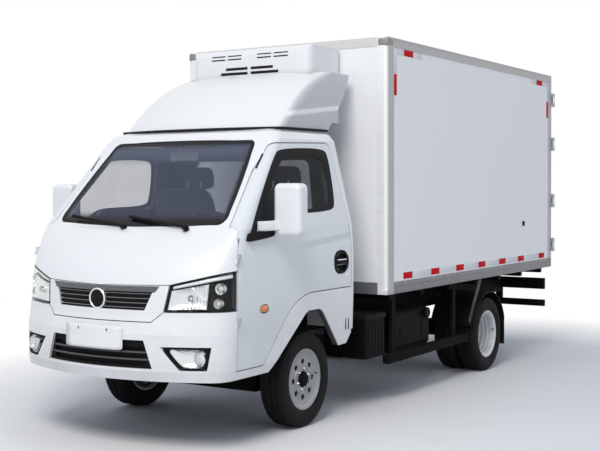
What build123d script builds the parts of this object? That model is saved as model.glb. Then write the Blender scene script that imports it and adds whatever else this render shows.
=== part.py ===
from build123d import *
import math
import os

os.makedirs("parts", exist_ok=True)

# Layout along Y, measured from the front axle; the truck faces -Y and +X is its left
wheelbase = 2800
nose_reach = 1240
cab_back = 560
box_start = 890
box_length = 3450
door_gear_depth = 40
overall_length = nose_reach + box_start + box_length + door_gear_depth
front_y = nose_reach - overall_length / 2
rear_y = front_y + wheelbase
nose_y = front_y - nose_reach
box_front = front_y + box_start
box_rear = box_front + box_length

# Clearances
door_gap = 6
running_gap = 0.3
seam = 4
seam_depth = 14

# Cab
cab_half = 800
cab_wall = 45
glass_thick = 6
rear_corner = 55

# Wheels
tyre_radius = 309
tyre_width = 177
bead_radius = 178
flange_radius = 196
rim_width = 144
front_wheel_x = 650
rear_outer_x = 768
twin_spacing = 197
spindle_radius = 32
axle_radius = 45
kingpin_x = 620
kingpin_radius = 14
track_arm = 80

# Chassis
rail_x = 380
rail_width = 56
rail_height = 140
rail_wall = 6
rail_top = 680
rail_base = rail_top - rail_height
floor_plate = 35

# Box
box_width = 1740
box_base = 790
box_height = 1820
box_top = box_base + box_height
box_half = box_width / 2
wall_thick = 75
post_side = 100
post_front = 80
trim_proud = 4
bottom_rail = 84
top_rail = 65
frame_post = 70
frame_head = 90
frame_depth = 80
hinge_out = 12
hinge_back = 22
hinge_radius = 14
pin_radius = 6


# Cab outline at rising heights
# columns: z, nose set back, cheek set back, side drawn in, corner radius, back drawn in
cab_rows = [
    (430, 28, 255, 24, 160, 0),
    (490, 0, 255, 12, 170, 0),
    (700, 6, 265, 5, 180, 0),
    (800, 44, 282, 2, 180, 0),
    (985, 72, 300, 0, 180, 0),
    (1150, 178, 345, 2, 140, 2),
    (1305, 382, 418, 10, 70, 8),
    (1860, 895, 940, 100, 60, 90),
    (1905, 945, 985, 130, 60, 112),
    (1930, 1020, 1060, 200, 60, 150),
]
hood_first = 4
hood_last = 6
roof_row = 7


def cab_face(row, inset, drop):
    z, nose_in, cheek_in, side_in, corner, back_in = row
    half = cab_half - side_in - inset
    nose = nose_y + nose_in + inset
    cheek = nose_y + cheek_in + inset
    back = front_y + cab_back - back_in - inset
    with BuildSketch(Plane.XY.offset(z - drop)) as face:
        with BuildLine():
            ThreePointArc((-half, cheek), (0, nose), (half, cheek))
            Line((half, cheek), (half, back))
            Line((half, back), (-half, back))
            Line((-half, back), (-half, cheek))
        make_face()
        fillet(face.vertices().sort_by(Axis.Y)[:2], max(corner - inset, 20))
        fillet(face.vertices().sort_by(Axis.Y)[-2:], max(rear_corner - inset, 10))
    return face.sketch


def cab_block(inset, round_hood=True):
    drops = [inset if i > roof_row else inset / 2 if i == roof_row else 0 for i in range(len(cab_rows))]
    drops[0] = inset
    faces = [cab_face(row, inset, drop) for row, drop in zip(cab_rows, drops)]
    with BuildPart() as block:
        for i in range(len(faces) - 1):
            if round_hood and i == hood_first:
                loft([faces[i], faces[i + 1], faces[i + 2]])
            elif not round_hood or i != hood_first + 1:
                loft([faces[i], faces[i + 1]], ruled=True)
    return block.part


cab_outer = cab_block(0)
cab_inner = cab_block(cab_wall)
cab_glass_back = cab_block(glass_thick)

with BuildPart() as shell:
    add(cab_outer)
    add(cab_inner, mode=Mode.SUBTRACT)

with BuildPart() as glass_skin:
    add(cab_outer)
    add(cab_glass_back, mode=Mode.SUBTRACT)

# The doors' sides run straight from row to row
with BuildPart() as door_shell:
    add(cab_block(0, round_hood=False))
    add(cab_block(cab_wall, round_hood=False), mode=Mode.SUBTRACT)

with BuildPart() as door_skin:
    add(cab_block(0, round_hood=False))
    add(cab_block(glass_thick, round_hood=False), mode=Mode.SUBTRACT)

with BuildPart() as seam_skin:
    add(cab_outer)
    add(cab_block(seam_depth), mode=Mode.SUBTRACT)

# Door outline in side view, from the front axle line
arch_low = 420
arch_top = 765
arch_front = front_y - 527
arch_rear = front_y + 398
arch_crown_front = front_y - 87
arch_crown_rear = front_y + 98
arch_round = 110
flare_top = 882
flare_start = front_y - 40
flare_end = (front_y - 330, 765)
flare_foot = front_y - 592
door_front = front_y - 868
door_low = 485
door_belt = 1325
door_rear = front_y + 488
door_top = 1836
seat_deck = 930
door_reach_in = 560
door_in = 705
latch_low = 1000
latch_wide = 25
screen_low = 1322
screen_top = 1850


def door_outline(grow):
    with BuildSketch(Plane.YZ.offset(door_reach_in)) as outline:
        with BuildLine():
            Polyline((flare_foot, door_low), (door_front, door_low), (door_front, 960), (door_front + 14, 1150))
            Line((door_front + 14, 1150), (front_y - 812, door_belt))
            Line((front_y - 812, door_belt), (front_y - 330, door_top - 12))
            Line((front_y - 330, door_top - 12), (front_y + 352, door_top + 8))
            Line((front_y + 352, door_top + 8), (door_rear - 6, 1200))
            Polyline((door_rear - 6, 1200), (door_rear, flare_top), (flare_start, flare_top))
            ThreePointArc((flare_start, flare_top), (front_y - 192, 846), flare_end)
            Line(flare_end, (flare_foot, door_low))
        make_face()
        tops = outline.vertices().filter_by_position(Axis.Y, door_top - 60, door_top + 60)
        fillet(tops, 70)
        if grow:
            offset(amount=grow)
    return outline.sketch


def window_outline(grow):
    with BuildSketch(Plane.YZ) as outline:
        with BuildLine():
            Polyline((front_y - 745, 1240), (front_y - 470, 1262), (front_y - 300, 1392),
                     (front_y + 285, 1400), (front_y + 262, 1782), (front_y - 278, 1766),
                     (front_y - 745, 1240))
        make_face()
        fillet(outline.vertices(), 45)
        if grow:
            offset(amount=grow)
    return outline.sketch


def door_side(inner):
    with BuildPart() as side:
        with BuildSketch(Plane.XZ.offset(-(front_y + 700))):
            with BuildLine():
                Polyline((inner, 400), (inner, screen_low), (inner - 80, screen_top), (inner - 80, 1950),
                         (cab_half + 60, 1950), (cab_half + 60, 400), (inner, 400))
            make_face()
        extrude(amount=2000)
    return side.part


with BuildPart() as door_tool:
    extrude(door_outline(0), amount=cab_half, dir=(1, 0, 0))
    add(door_side(door_in), mode=Mode.INTERSECT)

with BuildPart() as door_cut:
    extrude(door_outline(door_gap), amount=cab_half, dir=(1, 0, 0))
    add(door_side(door_in - door_gap), mode=Mode.INTERSECT)
    mirror(about=Plane.YZ)

# Cab door hinges: a fixed lug with its pin below, the door's lug above it
hinge_x = cab_half + 2
hinge_y = door_front - door_gap / 2
hinge_lug = 26
hinge_low = 740
hinge_high = 1110
hinge_round = 8
hinge_pin = 4


def hinge_block(low, high, radius, ahead, behind, inward):
    with BuildPart() as block:
        with BuildSketch(Plane.XY.offset(low)):
            with Locations((hinge_x, hinge_y)):
                Circle(radius)
            with Locations((hinge_x + 4 - inward / 2, hinge_y + (behind - ahead) / 2)):
                Rectangle(inward, ahead + behind)
        extrude(amount=high - low)
    return block.part


def fixed_lug(z):
    with BuildPart() as lug:
        add(hinge_block(z, z + hinge_lug, hinge_round, 14, 0.1, 20))
        with BuildSketch(Plane.XY.offset(z)):
            with Locations((hinge_x, hinge_y)):
                Circle(hinge_pin)
        extrude(amount=2 * hinge_lug + 1)
    return lug.part


def door_lug(z):
    with BuildPart() as lug:
        add(hinge_block(z + hinge_lug + 1, z + 2 * hinge_lug + 1, hinge_round, 0.1, 22, 16))
        with BuildSketch(Plane.XY.offset(z)):
            with Locations((hinge_x, hinge_y)):
                Circle(hinge_pin + running_gap)
        extrude(amount=2 * hinge_lug + 2, mode=Mode.SUBTRACT)
    return lug.part


def fixed_relief(z):
    return hinge_block(z + hinge_lug, z + 2 * hinge_lug + 2, hinge_round + 1.5, 1, 24, 19)


def door_relief(z):
    return hinge_block(z - 1, z + hinge_lug + 1, hinge_round + 1.5, 15, 1, 22)


# Windscreen outline in front view


def screen_outline():
    with BuildSketch(Plane.XZ.offset(200 - front_y)) as outline:
        with BuildLine():
            Polyline((-668, screen_low + 6), (0, screen_low - 12), (668, screen_low + 6),
                     (568, screen_top), (-568, screen_top), (-668, screen_low + 6))
        make_face()
        fillet(outline.vertices().filter_by_position(Axis.X, -700, -500), 50)
        fillet(outline.vertices().filter_by_position(Axis.X, 500, 700), 50)
    return outline.sketch


with BuildPart() as screen_tool:
    extrude(screen_outline(), amount=800, dir=(0, -1, 0))

# Rear wall region in side view
with BuildPart() as rear_tool:
    with BuildSketch(Plane.YZ):
        with BuildLine():
            Polyline((door_rear + 9, 590), (door_rear + 9, 900), (door_rear + 4, 1200),
                     (front_y + 372, 1856), (front_y + 360, 2000), (front_y + 700, 2000),
                     (front_y + 700, 590), (door_rear + 9, 590))
        make_face()
    extrude(amount=cab_half + 50, both=True)

rear_window_low = 1330
with BuildPart() as rear_window_tool:
    with BuildSketch(Plane.XZ.offset(-(front_y + cab_back + 20))):
        with Locations((0, (rear_window_low + 1740) / 2)):
            RectangleRounded(980, 1740 - rear_window_low, 50)
    extrude(amount=190)

with BuildPart() as cab_rear_wall:
    add(shell.part)
    add(rear_tool.part, mode=Mode.INTERSECT)
    add(rear_window_tool.part, mode=Mode.SUBTRACT)
    with BuildSketch(Plane.XY.offset(500)):
        with Locations((0, front_y + cab_back)):
            Rectangle(2 * (rail_x + rail_width), 300)
    extrude(amount=rail_top + 10 - 500, mode=Mode.SUBTRACT)
    with BuildSketch(Plane.XY.offset(latch_low)):
        for side in (-1, 1):
            with Locations((side * (cab_half - cab_wall - 2 - latch_wide / 2), door_rear + 10)):
                Rectangle(latch_wide, 80)
            with Locations((side * (cab_half - cab_wall), door_rear + 32)):
                Rectangle(2 * latch_wide, 36)
    extrude(amount=100)

with BuildPart() as screen_glass:
    add(glass_skin.part)
    add(screen_tool.part, mode=Mode.INTERSECT)
with BuildPart() as rear_glass:
    add(glass_skin.part)
    add(rear_window_tool.part, mode=Mode.INTERSECT)
with BuildPart() as cab_glass:
    add(screen_glass.part)
    add(rear_glass.part)

with BuildPart() as cab_roof:
    add(shell.part)
    with BuildSketch(Plane.XY.offset(cab_rows[hood_last][0])):
        with Locations((0, front_y)):
            Rectangle(2 * cab_half + 100, 3000)
    extrude(amount=900, mode=Mode.INTERSECT)
    add(rear_tool.part, mode=Mode.SUBTRACT)
    add(screen_tool.part, mode=Mode.SUBTRACT)
    add(door_cut.part, mode=Mode.SUBTRACT)

# Front face in front view: lamp line, grille panel and bumper
lamp_in_low = (445, 828)
lamp_in_top = (470, 985)
lamp_out_top = (cab_half + 20, 1072)
lamp_out_low = (cab_half + 20, 834)
panel_low = 770
panel_low_half = 380
front_cut = door_front - door_gap


def front_region(points):
    with BuildPart() as region:
        with BuildSketch(Plane.XZ.offset(-front_cut)):
            with BuildLine():
                Polyline(*points, points[0])
            make_face()
        extrude(amount=600)
    return region.part


hood_line = [(-lamp_out_top[0], lamp_out_top[1]), (-lamp_in_top[0], lamp_in_top[1]), (0, 974),
             lamp_in_top, lamp_out_top]
panel_points = [(-lamp_in_top[0], lamp_in_top[1]), (0, 974), lamp_in_top, lamp_in_low,
                (panel_low_half, panel_low), (-panel_low_half, panel_low), (-lamp_in_low[0], lamp_in_low[1])]
lamp_points = [lamp_in_low, lamp_in_top, lamp_out_top, lamp_out_low]
bumper_points = [(-lamp_out_low[0], 400), (-lamp_out_low[0], lamp_out_low[1]),
                 (-lamp_in_low[0], lamp_in_low[1]), (-panel_low_half, panel_low), (panel_low_half, panel_low),
                 lamp_in_low, lamp_out_low, (lamp_out_low[0], 400)]

with BuildPart() as seams:
    with BuildSketch(Plane.XZ.offset(-front_cut)):
        with BuildLine():
            Polyline(*hood_line)
        trace(line_width=seam)
        with BuildLine():
            Polyline((-lamp_out_low[0], lamp_out_low[1]), (-lamp_in_low[0], lamp_in_low[1]),
                     (-panel_low_half, panel_low), (panel_low_half, panel_low), lamp_in_low, lamp_out_low)
        trace(line_width=seam)
        with BuildLine():
            Line(lamp_in_low, lamp_in_top)
        trace(line_width=seam)
        with BuildLine():
            Line((-lamp_in_low[0], lamp_in_low[1]), (-lamp_in_top[0], lamp_in_top[1]))
        trace(line_width=seam)
    extrude(amount=600)
    add(seam_skin.part, mode=Mode.INTERSECT)

hood_top = cab_rows[hood_last][0]
with BuildPart() as cab_front_panel:
    add(shell.part)
    add(front_region(hood_line + [(lamp_out_top[0], hood_top), (-lamp_out_top[0], hood_top)]),
        mode=Mode.INTERSECT)
    add(seams.part, mode=Mode.SUBTRACT)
with BuildPart() as hood_back:
    add(shell.part)
    with BuildSketch(Plane.XY.offset(lamp_out_top[1])):
        with Locations((0, front_cut + 100)):
            Rectangle(2 * cab_half + 100, 200)
    extrude(amount=hood_top - lamp_out_top[1], mode=Mode.INTERSECT)
    add(door_cut.part, mode=Mode.SUBTRACT)
with BuildPart() as cab_front:
    add(cab_front_panel.part)
    add(hood_back.part)
    add(fixed_relief(hinge_high), mode=Mode.SUBTRACT)
    mirror(fixed_relief(hinge_high), about=Plane.YZ, mode=Mode.SUBTRACT)
    add(fixed_lug(hinge_high))
    mirror(fixed_lug(hinge_high), about=Plane.YZ)

# Grille opening in the panel between the lamps
grille_top = 944
grille_low = 836
grille_half_top = 372
grille_half_low = 330
with BuildPart() as grille_hole:
    with BuildSketch(Plane.XZ.offset(-front_cut)):
        with BuildLine():
            Polyline((-grille_half_low, grille_low), (grille_half_low, grille_low), (grille_half_top, grille_top),
                     (-grille_half_top, grille_top), (-grille_half_low, grille_low))
        make_face()
    extrude(amount=600)

with BuildPart() as grille_panel:
    add(shell.part)
    add(front_region(panel_points), mode=Mode.INTERSECT)
    add(grille_hole.part, mode=Mode.SUBTRACT)
    add(seams.part, mode=Mode.SUBTRACT)

# Slatted insert that fills the grille opening, set back behind the panel
slat_count = 4
slat_back = 12
grille_back = cab_block(cab_wall - 8)
slat_pitch = (grille_top - grille_low) / slat_count
with BuildPart() as grille_insert:
    add(cab_block(slat_back))
    add(cab_inner, mode=Mode.SUBTRACT)
    add(grille_hole.part, mode=Mode.INTERSECT)
with BuildPart() as slat_gaps:
    with BuildSketch(Plane.XZ.offset(-front_cut)):
        for i in range(slat_count):
            with Locations((0, grille_low + (i + 0.5) * slat_pitch)):
                Rectangle(2 * grille_half_top, slat_pitch * 0.55)
    extrude(amount=600)
    add(grille_back, mode=Mode.SUBTRACT)
with BuildPart() as grille:
    add(grille_insert.part)
    add(slat_gaps.part, mode=Mode.SUBTRACT)

# Bumper with the lower grille and fog lamp openings
low_grille = [(-405, 503), (405, 503), (350, 667), (-350, 667)]
fog = [(447, 634), (720, 634), (700, 500), (557, 500)]
with BuildPart() as bumper_holes:
    with BuildSketch(Plane.XZ.offset(-front_cut)):
        with BuildLine():
            Polyline(*low_grille, low_grille[0])
        make_face()
        with BuildLine():
            Polyline(*fog, fog[0])
        make_face()
        mirror(about=Plane.YZ)
    extrude(amount=600)

bracket_back = front_y - 950
with BuildPart() as bumper:
    add(shell.part)
    add(front_region(bumper_points), mode=Mode.INTERSECT)
    add(bumper_holes.part, mode=Mode.SUBTRACT)
    add(seams.part, mode=Mode.SUBTRACT)
    with BuildSketch(Plane.XZ.offset(-bracket_back)):
        with Locations((-rail_x, rail_top - 17), (rail_x, rail_top - 17)):
            Rectangle(40, 34)
    extrude(amount=nose_reach - 950 - 80)
    add(fixed_relief(hinge_low), mode=Mode.SUBTRACT)
    mirror(fixed_relief(hinge_low), about=Plane.YZ, mode=Mode.SUBTRACT)
    add(fixed_lug(hinge_low))
    mirror(fixed_lug(hinge_low), about=Plane.YZ)

# Lower grille: two bars in a frame across the opening
with BuildPart() as low_fill:
    add(cab_block(slat_back + 6))
    add(cab_inner, mode=Mode.SUBTRACT)
    add(bumper_holes.part, mode=Mode.INTERSECT)
with BuildPart() as lower_grille:
    add(low_fill.part)
    with BuildSketch(Plane.XZ.offset(-front_cut)):
        with Locations((0, 585)):
            Rectangle(860, 240)
    extrude(amount=600, mode=Mode.INTERSECT)
    with BuildSketch(Plane.XZ.offset(-front_cut)):
        with Locations((0, 532), (0, 574), (0, 616)):
            Rectangle(700, 26)
    extrude(amount=600, mode=Mode.SUBTRACT)

with BuildPart() as grilles:
    add(grille.part)
    add(lower_grille.part)

# Lamps: headlamps wrap the corners, fog lamps fill their bezels
with BuildPart() as headlamp:
    add(shell.part)
    add(front_region(lamp_points), mode=Mode.INTERSECT)
    add(seams.part, mode=Mode.SUBTRACT)
with BuildPart() as fog_lamp:
    add(low_fill.part)
    with BuildSketch(Plane.XZ.offset(-front_cut)):
        with Locations((600, 585)):
            Rectangle(330, 240)
    extrude(amount=600, mode=Mode.INTERSECT)
with BuildPart() as front_lamps:
    add(headlamp.part)
    add(fog_lamp.part)
    mirror(headlamp.part, about=Plane.YZ)
    mirror(fog_lamp.part, about=Plane.YZ)

# Side panels below the doors with the wheel arches
tail_z = 500
with BuildPart() as side_panels:
    add(shell.part)
    with BuildSketch(Plane.YZ):
        with BuildLine():
            Polyline((front_cut, 420), (front_y - 460, 420), (front_y - 80, 480), (front_y + 433, tail_z),
                     (door_rear + 9, 565), (door_rear + 9, flare_top + 10), (flare_foot - 10, flare_top + 10),
                     (flare_foot - 10, door_low - door_gap), (front_cut, door_low - door_gap),
                     (front_cut, 420))
        make_face()
    extrude(amount=cab_half + 50, both=True, mode=Mode.INTERSECT)
    add(door_cut.part, mode=Mode.SUBTRACT)
    with BuildSketch(Plane.YZ) as arch:
        with BuildLine():
            Polyline((arch_front, arch_low), (arch_crown_front, arch_top), (arch_crown_rear, arch_top),
                     (arch_rear, arch_low), (arch_front, arch_low))
        make_face()
        fillet(arch.vertices().group_by(Axis.Y)[-1], arch_round)
    extrude(amount=cab_half + 50, both=True, mode=Mode.SUBTRACT)

# Doors: panel with its window, glass and mirror
handle_y = front_y + 362
handle_z = 1050
with BuildPart() as window_tool:
    extrude(window_outline(0), amount=cab_half + 50, dir=(1, 0, 0))

with BuildPart() as cab_door_left:
    add(door_shell.part)
    add(door_tool.part, mode=Mode.INTERSECT)
    add(window_tool.part, mode=Mode.SUBTRACT)
    with BuildSketch(Plane.YZ.offset(cab_half - 22)):
        with Locations((handle_y, handle_z)):
            Ellipse(86, 62)
    extrude(amount=60, mode=Mode.SUBTRACT)
    with BuildSketch(Plane.YZ.offset(cab_half - 30)):
        with Locations((handle_y, handle_z)):
            RectangleRounded(150, 34, 12)
    extrude(amount=24)
    for low in (hinge_low, hinge_high):
        add(door_relief(low), mode=Mode.SUBTRACT)
        add(door_lug(low))

with BuildPart() as door_glass_left:
    add(door_skin.part)
    add(window_tool.part, mode=Mode.INTERSECT)

mirror_y = front_y - 480
mirror_z = 1415
mirror_in = 815
mirror_out = 1005
mirror_high = 320
mirror_deep = 90
with BuildPart() as mirror_left:
    with BuildSketch(Plane.XZ.offset(-(mirror_y + mirror_deep / 2))):
        with Locations(((mirror_in + mirror_out) / 2, mirror_z)):
            RectangleRounded(mirror_out - mirror_in, mirror_high, 40)
    extrude(amount=mirror_deep)
    fillet(mirror_left.faces().sort_by(Axis.Y)[0].edges(), 30)
    with BuildSketch(Plane.XY.offset(1296)):
        with BuildLine():
            Polyline((770, front_y - 640), (770, front_y - 570), (mirror_in + 60, mirror_y + 20),
                     (mirror_in + 60, mirror_y - 30), (770, front_y - 640))
        make_face()
    extrude(amount=34)
    with BuildSketch(Plane.YZ):
        with BuildLine():
            Polyline((front_y - 735, 1246), (front_y - 500, 1264), (front_y - 520, 1345),
                     (front_y - 655, 1335), (front_y - 735, 1246))
        make_face()
    extrude(amount=cab_half - 14)
    add(cab_outer, mode=Mode.SUBTRACT)

with BuildPart() as cab_door_right:
    mirror(cab_door_left.part, about=Plane.YZ)
with BuildPart() as door_glass_right:
    mirror(door_glass_left.part, about=Plane.YZ)
with BuildPart() as mirror_right:
    mirror(mirror_left.part, about=Plane.YZ)

# Cab floor: foot plate, riser and seat deck
floor_half = cab_half - cab_wall - 18
riser_y = front_y - 430
cab_inner_back = front_y + cab_back - cab_wall
with BuildPart() as cab_floor:
    with BuildSketch(Plane.YZ):
        with BuildLine():
            Polyline((front_y - 1040, rail_top), (riser_y, rail_top), (riser_y, seat_deck - floor_plate),
                     (cab_inner_back, seat_deck - floor_plate), (cab_inner_back, seat_deck),
                     (riser_y - floor_plate, seat_deck), (riser_y - floor_plate, rail_top + floor_plate),
                     (front_y - 1040, rail_top + floor_plate), (front_y - 1040, rail_top))
        make_face()
    extrude(amount=floor_half, both=True)
    with BuildSketch(Plane.XY.offset(rail_top)):
        with Locations((-rail_x, front_y + 440), (rail_x, front_y + 440)):
            Rectangle(60, 120)
    extrude(amount=seat_deck - floor_plate - rail_top)
    add(cab_block(cab_wall), mode=Mode.INTERSECT)

# Dashboard on its centre console
dash_back = front_y - 470
with BuildPart() as dashboard:
    with BuildSketch(Plane.YZ):
        with BuildLine():
            Polyline((front_y - 770, 985), (dash_back - 60, 985), (dash_back, 1060), (dash_back - 20, 1215),
                     (dash_back - 110, 1282), (front_y - 740, 1300), (front_y - 770, 1270), (front_y - 770, 985))
        make_face()
    extrude(amount=floor_half - 8, both=True)
    with BuildSketch(Plane.XY.offset(rail_top + floor_plate)):
        with Locations((0, front_y - 640)):
            Rectangle(240, 180)
    extrude(amount=300)

# Steering wheel on its raked column
wheel_x = 365
wheel_tilt = 62
wheel_ring = 185
column_foot = Vector(wheel_x, dash_back - 60, 1120)
column_dir = Vector(0, math.cos(math.radians(wheel_tilt)) * 1.0, math.sin(math.radians(wheel_tilt)))
wheel_plane = Plane(origin=column_foot, x_dir=(1, 0, 0), z_dir=column_dir)
column_length = 190
with BuildPart() as column:
    with BuildSketch(wheel_plane):
        Circle(28)
    extrude(amount=column_length)
with BuildPart() as dash_column:
    add(dashboard.part)
    add(column.part)
with BuildPart() as steering_wheel:
    with BuildSketch(wheel_plane.offset(column_length + running_gap)):
        Circle(48)
    extrude(amount=30)
    with BuildSketch(wheel_plane.offset(column_length + running_gap + 12)):
        Rectangle(2 * wheel_ring, 36)
        with Locations((0, -wheel_ring / 2)):
            Rectangle(36, wheel_ring)
    extrude(amount=14)
    with BuildSketch(wheel_plane.offset(column_length + running_gap + 4)):
        Circle(wheel_ring + 14)
        Circle(wheel_ring - 14, mode=Mode.SUBTRACT)
    extrude(amount=28)

# Seats: cushion, back and head rest for each place
seat_x = 365
seat_wide = 500
with BuildPart() as seat:
    with BuildSketch(Plane.YZ.offset(seat_x - seat_wide / 2)):
        with BuildLine():
            Polyline((front_y - 360, seat_deck), (front_y + 200, seat_deck), (front_y + 330, 1560),
                     (front_y + 235, 1580), (front_y + 90, 1090), (front_y - 350, 1080), (front_y - 360, seat_deck))
        make_face()
    extrude(amount=seat_wide)
    with BuildSketch(Plane.YZ.offset(seat_x - 130)):
        with BuildLine():
            Polyline((front_y + 250, 1568), (front_y + 330, 1556), (front_y + 355, 1735), (front_y + 265, 1745),
                     (front_y + 250, 1568))
        make_face()
    extrude(amount=260)
with BuildPart() as seats:
    add(seat.part)
    mirror(seat.part, about=Plane.YZ)

# Wipers at rest along the foot of the windscreen
screen_slope = math.degrees(math.atan2(1860 - 1305, 895 - 382))
wiper_plane = Plane(origin=(0, nose_y + 384, 1306), x_dir=(1, 0, 0),
                    z_dir=(0, -math.sin(math.radians(screen_slope)), math.cos(math.radians(screen_slope))))
with BuildPart() as wipers:
    with BuildSketch(wiper_plane.offset(-14)):
        for pivot in (-60, 420):
            with Locations((pivot, -8)):
                Circle(16)
    extrude(amount=34)
    with BuildSketch(wiper_plane.offset(12)):
        for pivot in (-60, 420):
            with Locations(Location((pivot - 225, 30), 171)):
                Rectangle(500, 14)
    extrude(amount=12)
    add(cab_outer, mode=Mode.SUBTRACT)

# Roof fairing that leads the air from the cab roof to the cooling unit
# columns: z, nose, cheek, half width, corner radius, back
fairing_rows = [
    (1916, -262, -170, 640, 70, 430),
    (2010, -205, -70, 642, 90, 520),
    (2140, -70, 90, 636, 110, 640),
    (2260, 140, 300, 624, 120, 740),
    (2345, 380, 520, 604, 110, 810),
]
fairing_wall = 12
unit_front = 440
unit_half = 500


def fairing_block(inset):
    faces = []
    for z, nose, cheek, half, corner, back in fairing_rows:
        with BuildSketch(Plane.XY.offset(z - (inset if z == fairing_rows[-1][0] else 0))) as face:
            with BuildLine():
                ThreePointArc((-half + inset, front_y + cheek + inset), (0, front_y + nose + inset),
                              (half - inset, front_y + cheek + inset))
                Polyline((half - inset, front_y + cheek + inset), (half - inset, front_y + back + inset),
                         (-half + inset, front_y + back + inset), (-half + inset, front_y + cheek + inset))
            make_face()
            fillet(face.vertices().sort_by(Axis.Y)[:2], corner - inset)
        faces.append(face.sketch)
    with BuildPart() as block:
        loft(faces)
    return block.part


with BuildPart() as roof_fairing:
    add(fairing_block(0))
    add(fairing_block(fairing_wall), mode=Mode.SUBTRACT)
    with BuildSketch(Plane.XY.offset(1900)):
        with Locations((0, front_y + unit_front + 500 - 20)):
            Rectangle(2 * unit_half + 40, 1000)
    extrude(amount=700, mode=Mode.SUBTRACT)
    add(cab_outer, mode=Mode.SUBTRACT)

# Cooling unit on the front wall of the box
unit_low = 2010
unit_top = 2540
with BuildPart() as cooling_unit:
    with BuildSketch(Plane.YZ):
        with BuildLine():
            Polyline((front_y + unit_front + 30, unit_low), (box_front + trim_proud, unit_low),
                     (box_front + trim_proud, unit_top), (front_y + unit_front + 40, unit_top),
                     (front_y + unit_front, unit_top - 50), (front_y + unit_front, unit_low + 60),
                     (front_y + unit_front + 30, unit_low))
        make_face()
    extrude(amount=unit_half, both=True)
    fillet(cooling_unit.edges().filter_by(Axis.Z), 60)
    with BuildSketch(Plane.XZ.offset(-(front_y + unit_front + 30))):
        for x in (-265, -125, 125, 265):
            for z in (2495, 2470):
                with Locations((x, z)):
                    Rectangle(120, 10)
        for i, half in enumerate((190, 235, 262, 275, 275)):
            for side in (-1, 1):
                with Locations((side * (half / 2 + 12), 2400 - i * 34)):
                    Rectangle(half, 20)
    extrude(amount=60, mode=Mode.SUBTRACT)

# Evaporator inside the front wall
with BuildPart() as evaporator:
    with BuildSketch(Plane.YZ):
        with BuildLine():
            inside = box_front + trim_proud + wall_thick
            roof_in = box_top - trim_proud - wall_thick
            Polyline((inside, roof_in), (inside + 420, roof_in), (inside + 420, roof_in - 60),
                     (inside + 160, roof_in - 200), (inside, roof_in - 200), (inside, roof_in))
        make_face()
    extrude(amount=560, both=True)

# Box: aluminium edge profiles, then the panels between them
skin_half = box_half - trim_proud
inner_half = box_half - post_front
panel_front = box_front + trim_proud
panel_rear = box_rear - frame_depth
with BuildPart() as box_trim:
    for side in (-1, 1):
        with BuildSketch(Plane.XY.offset(box_base)):
            with Locations((side * (box_half - post_front / 2), box_front + post_side / 2)):
                Rectangle(post_front, post_side)
        extrude(amount=box_height)
    fillet(box_trim.edges().filter_by(Axis.Z).group_by(Axis.Y)[0].sort_by(Axis.X)[0], 32)
    fillet(box_trim.edges().filter_by(Axis.Z).group_by(Axis.Y)[0].sort_by(Axis.X)[-1], 32)
    for side in (-1, 1):
        with BuildSketch(Plane.XZ.offset(-(box_front + post_side))):
            with Locations((side * (box_half - post_front / 2), box_base + bottom_rail / 2)):
                Rectangle(post_front, bottom_rail)
            with Locations((side * (box_half - post_front / 2), box_top - top_rail / 2)):
                Rectangle(post_front, top_rail)
        extrude(amount=-(panel_rear - box_front - post_side))
    with BuildSketch(Plane.XZ.offset(-box_front)):
        with Locations((0, box_base + bottom_rail / 2)):
            Rectangle(2 * inner_half, bottom_rail)
        with Locations((0, box_top - top_rail / 2)):
            Rectangle(2 * inner_half, top_rail)
    extrude(amount=-post_side)

side_low = box_base + bottom_rail
side_top = box_top - top_rail
with BuildPart() as box_left_wall:
    with BuildSketch(Plane.YZ.offset(skin_half - wall_thick)):
        with Locations(((box_front + post_side + panel_rear) / 2, (side_low + side_top) / 2)):
            Rectangle(panel_rear - box_front - post_side, side_top - side_low)
    extrude(amount=wall_thick)
with BuildPart() as box_right_wall:
    mirror(box_left_wall.part, about=Plane.YZ)
with BuildPart() as box_front_wall:
    with BuildSketch(Plane.XZ.offset(-panel_front)):
        with Locations((0, (side_low + side_top) / 2)):
            Rectangle(2 * inner_half, side_top - side_low)
    extrude(amount=-wall_thick)
with BuildPart() as box_roof:
    with BuildSketch(Plane.XY.offset(box_top - trim_proud - wall_thick)):
        with Locations((0, (box_front + post_side + panel_rear) / 2)):
            Rectangle(2 * inner_half, panel_rear - box_front - post_side)
    extrude(amount=wall_thick)
with BuildPart() as box_floor:
    with BuildSketch(Plane.XY.offset(box_base)):
        with Locations((0, (box_front + post_side + panel_rear) / 2)):
            Rectangle(2 * inner_half, panel_rear - box_front - post_side)
    extrude(amount=bottom_rail)

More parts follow.
